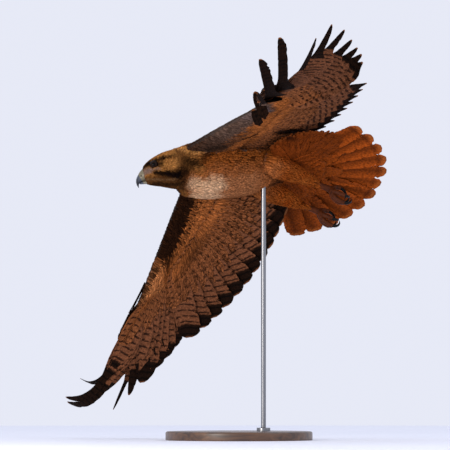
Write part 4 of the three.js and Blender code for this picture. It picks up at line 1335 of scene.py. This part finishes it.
def tail_colour(base):
    """A tail vane, darker along its shaft and at its quill, partly its own colour and partly painted shade
    where its neighbours overlap it, with a smudge before its pale end
    """
    def colour(place, at, columns):
        # Darker at the quill and near the shaft: partly dark webs, partly painted shade of the overlapping
        # feathers
        along = mix(0.5, 1.15, ramp(at, 0.2, 0.85))[:, None] * (0.4 + 0.8 * np.abs(columns) ** 0.8)
        smudge = rng.uniform(0.2, 0.8) * hill(at, 0.92, 0.03)[:, None] * (1 - np.abs(columns) ** 4)
        shade = over(base * (along * rng.normal(1, 0.08))[..., None], TAIL_SMUDGE, smudge)
        return over(shade, TAIL_TIP, 0.8 * ramp(at, 0.93, 0.99)[:, None] * np.ones(len(columns)))
    return colour


def tail_coverts(row, up):
    """Coverts over and under the tail's root, with shorter ones between them further out"""
    cover = []
    for face, length in TAIL_COVERTS.items():
        for rank, spec in enumerate(row + midway(row)):
            second = rank >= TAIL["count"]
            off = face * (TAIL_COVERT["gap"] + TAIL_COVERT["further"] * second) + 1
            share = TAIL_COVERT["shorter"] if second else 1
            cover.append({**spec, "root": spec["root"] + up * off, "level": spec["level"] / 3,
                          "length": length * share * rng.uniform(0.86, 1.12),
                          "width": TAIL_COVERT["width"], "curl": -face * 4, "black": UNINKED,
                          "full": 0.7})
    return cover


def side_plumes(model, up, back, left):
    """Loose plumes that fan out from the tail's root towards wing and thigh"""
    plumes = []
    for side, low, high, longest, shortest in PLUMES:
        for angle in np.arange(low, high, PLUME_VANE["apart"]):
            t = (angle - low) / (high - low)
            way = turned(back, left * side, angle + rng.normal(0, 1))
            root = TAIL["at"] + left * side * 20 - up * rng.uniform(2, 6) + back * 8 * t
            plumes.append({**model, **PLUME_VANE, "root": root, "dir": way,
                           "lead": np.cross(way, up) * side, "level": -3 - 3 * t,
                           "length": mix(longest, shortest, t ** 0.95) * rng.uniform(0.94, 1.0)})
    return plumes


def build_tail():
    row, up, back, left = tail_rows()
    chunks = flight_chunks(row, tail_colour(TAIL_UPPER), tail_colour(TAIL_UNDER))
    piece = add_mesh("tail_feathers", chunks, TAIL_MATERIAL)
    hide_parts("tail")
    cover = tail_coverts(row, up)
    plumes = side_plumes(row[-1], up, back, left)
    ground = flat_colour(RUFOUS, 0.9, 1.1)
    # Plumes darker towards their tips: painted shadow of the wing over them
    painted_plume_shadow = flat_colour(PLUME, 1.0, 0.8)
    chunks = flight_chunks(cover, ground, ground, SHORT_ROWS, rachis=0.6)
    chunks += flight_chunks(plumes, painted_plume_shadow, painted_plume_shadow, SHORT_ROWS, rachis=0.4)
    add_mesh("tail_coverts", chunks, COVERT_TAIL)


COVERT_TAIL = flight_material("tail coverts", tone(80, 36, 12), INK, tone(120, 60, 24), 80.0, 0.04)
build_tail()


# One skin under the whole coat: lofts pressed in by the coat's depth, fused and smoothed
VOXEL, SMOOTHINGS = 0.0024, 3
SKIN_DIM = 0.6
WING_SLIM = 0.78


def loft(rings):
    """A closed skin over rings: a grid laid over them, its seam merged and its ends filled"""
    count, around = len(rings), len(rings[0])
    bm = bmesh.new()
    bmesh.ops.create_grid(bm, x_segments=around, y_segments=count - 1, size=1)
    for vert in bm.verts:
        i = round((vert.co.x + 1) / 2 * around) % around
        j = round((vert.co.y + 1) / 2 * (count - 1))
        vert.co = rings[j][i]
    bmesh.ops.remove_doubles(bm, verts=bm.verts, dist=1e-5)
    rim = [edge for edge in bm.edges if edge.is_boundary]
    bmesh.ops.holes_fill(bm, edges=rim)
    bmesh.ops.recalc_face_normals(bm, faces=bm.faces)
    return bm


def mesh_of(name, bms):
    """The meshes of several bmeshes in the bird's frame, joined"""
    whole = bmesh.new()
    for bm in bms:
        part = bpy.data.meshes.new("part")
        bm.to_mesh(part)
        bm.free()
        whole.from_mesh(part)
        bpy.data.meshes.remove(part)
    for face in whole.faces:
        face.smooth = True
    mesh = bpy.data.meshes.new(name)
    whole.to_mesh(mesh)
    whole.free()
    co = np.zeros(len(mesh.vertices) * 3)
    mesh.vertices.foreach_get("co", co)
    mesh.vertices.foreach_set("co", to_row(co.reshape(-1, 3)).ravel())
    mesh.update()
    return mesh


def inset(surface, depth):
    """A surface's grid pressed in along its normals"""
    normal = surface.normals[:, :-1] if surface.closed else surface.normals
    return surface.grid - normal * depth


def build_skin():
    bodies = [loft(inset(body, coat_depth(body.grid)[..., None]))]
    samples = [body.grid.reshape(-1, 3)]
    colours = [coat_colour(body.grid).reshape(-1, 3)]
    for side in (1, -1):
        grid = inset(thighs[side], THIGH_FEATHER["depth"])
        bodies.append(loft(grid))
        samples.append(grid.reshape(-1, 3))
        colours.append(thigh_colour(samples[-1]))
    for plan in plans:
        top, under = halves[plan["name"], 1], halves[plan["name"], -1]
        middle = (top + under) / 2
        f = along_wing(np.linspace(0, 1, len(top)))[:, None]
        c = np.linspace(0, 1, top.shape[1])[None]
        for half, below in ((top, False), (under, True)):
            samples.append(half.reshape(-1, 3))
            colours.append(wing_colour(plan, f + 0 * c, c + 0 * f, below).reshape(-1, 3))
        slim = [(middle + (half - middle) * WING_SLIM)[:, 2:] for half in (top, under)]
        bodies.append(loft(np.concatenate([slim[0], slim[1][:, ::-1]], 1)))
    piece = finish_piece("skin", mesh_of("skin", bodies), SKIN)
    fuse = piece.modifiers.new("fuse", "REMESH")
    fuse.mode = "VOXEL"
    fuse.voxel_size = VOXEL
    fuse.use_smooth_shade = True
    soften = piece.modifiers.new("soften", "SMOOTH")
    soften.iterations = SMOOTHINGS
    bake_modifiers(piece)
    tree = kdtree.KDTree(sum(len(s) for s in samples))
    places = to_row(np.concatenate(samples))
    for k, place in enumerate(places):
        tree.insert(place, k)
    tree.balance()
    near = [tree.find(v.co)[1] for v in piece.data.vertices]
    paint(piece.data, np.concatenate(colours)[near] * SKIN_DIM)
    nodes = ["torso", "neck", "head", "tail", "leg_left", "leg_right"]
    nodes += [f"wing_{side}_{part}" for side in ("left", "right") for part in ("arm", "hand")]
    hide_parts(*nodes)


def bake_modifiers(piece):
    """Apply a piece's modifiers to its mesh"""
    bpy.context.view_layer.update()
    graph = bpy.context.evaluated_depsgraph_get()
    mesh = bpy.data.meshes.new_from_object(piece.evaluated_get(graph))
    old = piece.data
    piece.modifiers.clear()
    piece.data = mesh
    bpy.data.meshes.remove(old)
    mesh.name = piece.name


build_skin()

# Bill: x and z of the top, x and z of the underside, half width
UPPER_BILL = [[33.5, 12.2, 34, -12.8, 12], [37, 10.5, 37, -13.1, 10.5], [43, 6.2, 41, -13.4, 9.3],
              [48.5, 0.2, 44.8, -14, 7.6], [52.5, -5, 47.6, -15, 5.9],
              [54.8, -11.5, 49.8, -17, 4.1], [54.8, -18, 51.3, -20.5, 2.6],
              [53, -24, 51.8, -24.3, 1]]
LOWER_BILL = [[33.5, -12.6, 33.5, -20.6, 10.5], [37, -12.8, 37, -20.3, 9.2], [42, -13.1, 42, -19.4, 7.4],
              [46, -14.0, 46, -18.6, 5.2], [49, -15.6, 48.4, -17.8, 2.4]]
NOSTRIL = {"at": vec(41.5, 8.8, -1.5), "deep": 1.8}


def nostril(points, aside, inner, outer):
    """1 in a nostril, falling to 0 at the outer distance"""
    gap = (to_left(points) - NOSTRIL["at"]) * vec(1, aside, 0.75)
    return 1 - ramp(np.linalg.norm(gap, axis=-1), inner, outer)


def bill_rings(rows, count, sides=40):
    """Rings of one half of the bill, in the head's frame"""
    t = (1 + np.sin(np.arange(sides) * (2 * math.pi / sides))) / 2
    swell = np.cos(np.arange(sides) * (2 * math.pi / sides))
    rings = []
    for cx, cz, tx, tz, half in smooth_rows(rows, np.linspace(0, len(rows) - 1, count)):
        y = half * swell * (1.08 - 0.2 * t) * (1 - 0.25 * ramp(t, 0.7, 1))
        rings.append(np.stack([mix(tx, cx, t), y, mix(tz, cz, t)], -1))
    rings = np.array(rings)
    pit = nostril(rings, 0.4, 0.6, 2.0)
    rings[..., 1] -= np.sign(rings[..., 1]) * NOSTRIL["deep"] * pit
    return rings


CERE = tone(106, 98, 78)
HORN = tone(58, 62, 72)
TIP = tone(22, 24, 30)


def bill_colour(points):
    """Dull cere at the root, dark horn, black towards the tip, and painted shade in the nostrils"""
    p = in_head(points)
    front = p[..., 0] - 0.35 * p[..., 2]
    shade = over(np.broadcast_to(CERE, p.shape), HORN, ramp(front, 45.6, 47.2))
    # Painted shade in the nostril pits
    shade = over(shade, TIP, 0.9 * nostril(p, 0.3, 0.8, 1.9))
    return over(shade, TIP, ramp(front, 50, 58))


def horn_piece(name, bms, material, colour, node):
    """A bare piece in place of one node, painted by where its points lie"""
    mesh = mesh_of(name, bms)
    co = np.zeros(len(mesh.vertices) * 3)
    mesh.vertices.foreach_get("co", co)
    paint(mesh, colour(from_row(co.reshape(-1, 3))))
    piece = finish_piece(name, mesh, material)
    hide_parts(node)


HORN_MATERIAL = horn_material("bill horn", 0.32, 0.25, 500.0)
CLAW_MATERIAL = horn_material("claw horn", 0.45, 0.2, 700.0, shine=0.12)
SCALE_MATERIAL = horn_material("scaled foot", 0.6, 0.6, 420.0, 0.0004, 0.12)
for name, rows, count, node in (("bill_above", UPPER_BILL, 34, "bill_upper"),
                                ("bill_below", LOWER_BILL, 20, "bill_lower")):
    half = loft(from_head(bill_rings(rows, count)))
    horn_piece(name, [half], HORN_MATERIAL, bill_colour, node)

# Eyes and lids, in the eye's own frame with z outwards
EYEBALL = {"bulge": 0.9, "bulge_rim": (2.5, 6.2), "pupil": (3.4, 3.8), "dark_rim": (5.9, 6.4)}
LIDS = {"thick": 0.8, "at": (6.5, 0, 5.9), "corner": 0.9}
LID = tone(34, 24, 18)
IRIS = tone(34, 18, 9)
PUPIL = tone(6, 5, 5)
EYE_MATERIAL = grained_material("wet eye", 0.12, (0.5, 0.75), 1400.0, 2.0, None,
                                Specular_IOR_Level=0.05)
LID_MATERIAL = horn_material("eyelid", 0.7, 0.4, 900.0, shine=0.06)


def build_eye(side, name):
    at = EYE["at"] * vec(1, side, 1)
    out = EYE_OUT * vec(1, side, 1)
    aside = unit(np.cross(out, vec(0, 0, 1)))
    axes = np.stack([aside, np.cross(out, aside), out], 1)
    ball = bmesh.new()
    bmesh.ops.create_uvsphere(ball, u_segments=48, v_segments=40, radius=EYE["radius"])
    for vert in ball.verts:
        off = math.hypot(vert.co.x, vert.co.y)
        if vert.co.z > 0:
            vert.co.z += EYEBALL["bulge"] * float(1 - ramp(off, *EYEBALL["bulge_rim"]))
        vert.co = from_head(axes @ np.array(vert.co) + at)
    bmesh.ops.recalc_face_normals(ball, faces=ball.faces)

    def colour(points):
        p = in_head(points) - at
        off = np.linalg.norm(p - (p @ out)[..., None] * out, axis=-1)
        front = (p @ out) > 0
        pupil = (1 - ramp(off, *EYEBALL["pupil"])) * front
        shade = over(np.broadcast_to(IRIS, points.shape), PUPIL, pupil)
        return over(shade, PUPIL, np.where(front, ramp(off, *EYEBALL["dark_rim"]), 1))

    horn_piece(f"eyeball_{name}", [ball], EYE_MATERIAL, colour, f"eye_{name}")
    rim = bmesh.new()
    upright = Matrix.Translation(LIDS["at"]) @ Matrix.Rotation(math.pi / 2, 4, "X")
    bmesh.ops.create_circle(rim, segments=12, radius=LIDS["thick"], matrix=upright)
    bmesh.ops.spin(rim, geom=rim.verts[:] + rim.edges[:], cent=(0, 0, 0), axis=(0, 0, 1),
                   angle=2 * math.pi, steps=48, use_merge=True)
    bmesh.ops.remove_doubles(rim, verts=rim.verts, dist=1e-4)
    long, tall = EYE["open"]
    for vert in rim.verts:
        x, y, z = vert.co
        raised = z + LIDS["corner"] * abs(y) / math.hypot(x, y)
        vert.co = from_head(axes @ vec(x, y * tall / long, raised) + at)
    bmesh.ops.recalc_face_normals(rim, faces=rim.faces)
    lid = mesh_of(f"lids_{name}", [rim])
    paint(lid, np.broadcast_to(LID, (len(lid.vertices), 3)))
    finish_piece(f"lids_{name}", lid, LID_MATERIAL)


build_eye(1, "left")
build_eye(-1, "right")

# Feet: toes and claws bend towards the sole, by degrees from their first to their last step
TOE_BEND, TOE_END, CLAW_BEND = (15, 95), 85, (5, 125)
CLAW = {"longer": 1.15, "sunk": 1.5}
SHANK_RADII = [6.5, 6.0, 6.8, 5.5]


def arc(start, way, sole, length, bend, count):
    """Points along an arc that starts along a direction and turns towards the sole"""
    points = [start]
    for k in range(1, count):
        angle = mix(*bend, (k - 0.5) / (count - 1))
        points.append(points[-1] + turned(way, sole, angle) * (length / (count - 1)))
    return np.array(points)


TOE_SKIN = tone(74, 32, 8)
CLAW_HORN = tone(12, 9, 8)


def scutes(t, angle):
    """Low scutes across the top of a toe and soft pads below"""
    above = 0.05 * np.abs(np.sin(t * 9)) * (np.sin(angle) < 0.4)
    below = 0.10 * (np.sin(angle) > 0.2) * np.sin(t * math.pi) ** 2
    return 1 + above + below


def shank_rings(t, _):
    """Faint rings round the shank"""
    return 1 + 0.03 * np.abs(np.sin(t * 12))


def foot_colour(points):
    return np.broadcast_to(TOE_SKIN, points.shape) * (0.85 + 0.25 * noise(points, 12, 9)[..., None])


def claw_colour(points):
    return np.broadcast_to(CLAW_HORN, points.shape)


def build_foot(side, name):
    down = unit(FOOT - ANKLE)
    forward = unit(-np.cross(vec(0, 1, 0), down))
    mirror = vec(1, side, 1)
    ankle, foot = ANKLE * mirror, FOOT * mirror
    path = np.array([ankle - down * 4, (ankle + foot) / 2, foot, foot + down * 6])
    parts = [loft(tube(path, SHANK_RADII, rings=30, sides=20, ripple=shank_rings))]
    for toe in TOES:
        fan = math.radians(toe["fan"])
        out = unit(forward * toe["front"] * math.cos(fan) + vec(0, side * math.sin(fan), 0))
        path = arc(foot, out, down, toe["length"], TOE_BEND, len(TOE_RADII))
        parts.append(loft(tube(path, TOE_RADII, rings=26, sides=18, ripple=scutes)))
        heading, under = turned(out, down, TOE_END), turned(down, out, -TOE_END)
        path = arc(path[-1] - heading * CLAW["sunk"], heading, under, toe["talon"] * CLAW["longer"],
                   CLAW_BEND, len(TALON_RADII))
        claw = loft(tube(path, TALON_RADII, rings=20, sides=14))
        horn_piece(f"claw_{name}_{toe['name']}", [claw], CLAW_MATERIAL, claw_colour,
                   f"talon_{name}_{toe['name']}")
    horn_piece(f"scaled_foot_{name}", parts, SCALE_MATERIAL, foot_colour, f"foot_{name}")


build_foot(1, "left")
build_foot(-1, "right")

# Stand: a turned wooden base and a steel rod with a collar
STAND = {"radius": 150, "thick": 18, "bevel": 4, "edge": 1.5, "groove_in": 15, "groove_deep": 0.8,
         "rod_at": (50, 14), "rod_radius": 5, "rod_gap": 0.3, "rod_top": 528, "collar": (14, 7)}


def wood_material():
    material, tree, shader = new_material("dark oiled wood", 0.42, Coat_Weight=0.25,
                                          Coat_Roughness=0.25)
    rings = noise_node(tree, in_place(tree, (3.0, 40.0, 40.0)), 2.0, 8.0, Distortion=0.6)
    stain = add_node(tree, "ShaderNodeValToRGB")
    stops = ((0.35, tone(52, 34, 24)), (0.68, tone(104, 72, 48)))
    for element, (position, colour) in zip(stain.color_ramp.elements, stops):
        element.position = position
        element.color = rgba(colour)
    link(tree, rings, stain.inputs[0])
    link(tree, stain.outputs[0], shader.inputs["Base Color"])
    add_relief(tree, shader, rings, 0.15, 0.0004)
    return material


def steel_material():
    material, tree, shader = new_material("brushed steel", 0.3, Metallic=1.0)
    brush = noise_node(tree, in_place(tree, (900.0, 900.0, 12.0)), 1.0, 3.0)
    link(tree, maths(tree, "MULTIPLY_ADD", brush, 0.25, 0.2), shader.inputs["Roughness"])
    tint = blend_colours(tree, brush, rgba(tone(112, 113, 116)), rgba(tone(150, 151, 155)))
    link(tree, tint, shader.inputs["Base Color"])
    return material


def turned_piece(name, profile, centre, material, node, steps=96):
    """A profile of radius and height, in millimetres, spun round an upright axis"""
    bm = bmesh.new()
    verts = [bm.verts.new((r / 1000, 0, z / 1000)) for r, z in profile]
    for a, b in zip(verts, verts[1:]):
        bm.edges.new((a, b))
    bmesh.ops.spin(bm, geom=bm.verts[:] + bm.edges[:], cent=(0, 0, 0), axis=(0, 0, 1),
                   angle=2 * math.pi, steps=steps, use_merge=True)
    bmesh.ops.remove_doubles(bm, verts=bm.verts, dist=1e-6)
    bmesh.ops.translate(bm, verts=bm.verts, vec=(centre[0] / 1000, centre[1] / 1000, 0))
    bmesh.ops.recalc_face_normals(bm, faces=bm.faces)
    for face in bm.faces:
        face.smooth = True
    mesh = bpy.data.meshes.new(name)
    bm.to_mesh(mesh)
    bm.free()
    mesh.set_sharp_from_angle(angle=math.radians(35))
    piece = finish_piece(name, mesh, material)
    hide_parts(node)


def corner(radius, height, size, start, steps=6):
    """Points of a rounded corner"""
    angles = [math.radians(start + 90 * k / steps) for k in range(steps + 1)]
    return [(radius + size * math.cos(a), height + size * math.sin(a)) for a in angles]


top, edge, bevel = STAND["thick"], STAND["edge"], STAND["bevel"]
groove = STAND["radius"] - STAND["groove_in"]
base_profile = [(0, 0), *corner(STAND["radius"] - edge, edge, edge, -90),
                *corner(STAND["radius"] - bevel, top - bevel, bevel, 0),
                (groove + 1, top), (groove, top - STAND["groove_deep"]), (groove - 1, top),
                (0, top)]
turned_piece("base", base_profile, (0, 0), wood_material(), "stand_base")
foot_z = top + STAND["rod_gap"]
collar_radius, collar_height = STAND["collar"]
collar_z, rod = foot_z + collar_height, STAND["rod_radius"]
rod_profile = [(0, foot_z), (collar_radius, foot_z), *corner(collar_radius - 1, collar_z - 1, 1, 0),
               (rod + 1, collar_z), (rod, collar_z + 1), (rod, STAND["rod_top"]),
               (0, STAND["rod_top"])]
turned_piece("rod", rod_profile, STAND["rod_at"], steel_material(), "stand_rod", 48)


# Floor, light and camera
def floor_material():
    material, tree, shader = new_material("pale floor", 0.7)
    mottle = noise_node(tree, in_place(tree), 6.0)
    tint = blend_colours(tree, mottle, rgba(tone(236, 239, 250)), rgba(tone(240, 242, 252)))
    link(tree, tint, shader.inputs["Base Color"])
    return material


def build_floor():
    bm = bmesh.new()
    bmesh.ops.create_circle(bm, cap_ends=True, segments=96, radius=2.2)
    mesh = bpy.data.meshes.new("floor")
    bm.to_mesh(mesh)
    bm.free()
    floor = bpy.data.objects.new("floor", mesh)
    bpy.context.scene.collection.objects.link(floor)
    mesh.materials.append(floor_material())


build_floor()
world = bpy.data.worlds.new("soft room")
world.use_nodes = True
sky = world.node_tree.nodes["Background"].inputs
sky["Color"].default_value = rgba(tone(236, 239, 252))
sky["Strength"].default_value = 0.95
bpy.context.scene.world = world
bpy.context.scene.view_settings.view_transform = "Standard"


LIT = Vector((0, 0, 0.5))


def soft_light(name, place, size, power, colour):
    """A round soft light that looks at the lit point"""
    data = bpy.data.lights.new(name, "AREA")
    data.shape, data.size, data.energy, data.color = "DISK", size, power, colour
    lamp = bpy.data.objects.new(name, data)
    lamp.location = place
    lamp.rotation_euler = (LIT - Vector(place)).to_track_quat("-Z", "Y").to_euler()
    bpy.context.scene.collection.objects.link(lamp)


soft_light("key", (-1.6, -2.2, 0.7), 0.9, 42, (1.0, 0.93, 0.84))
soft_light("fill", (2.4, -1.2, 1.9), 1.6, 14, (0.92, 0.95, 1.0))

CAMERA = {"distance": 30.0, "centre": (-0.0286, 0.439), "frame_width": 0.918}
camera_data = bpy.data.cameras.new("camera")
camera_data.lens = camera_data.sensor_width * CAMERA["distance"] / CAMERA["frame_width"]
camera_data.clip_end = 200
camera = bpy.data.objects.new("camera", camera_data)
camera.location = (CAMERA["centre"][0], -CAMERA["distance"], CAMERA["centre"][1])
camera.rotation_euler = (math.pi / 2, 0, 0)
bpy.context.scene.collection.objects.link(camera)
bpy.context.scene.camera = camera
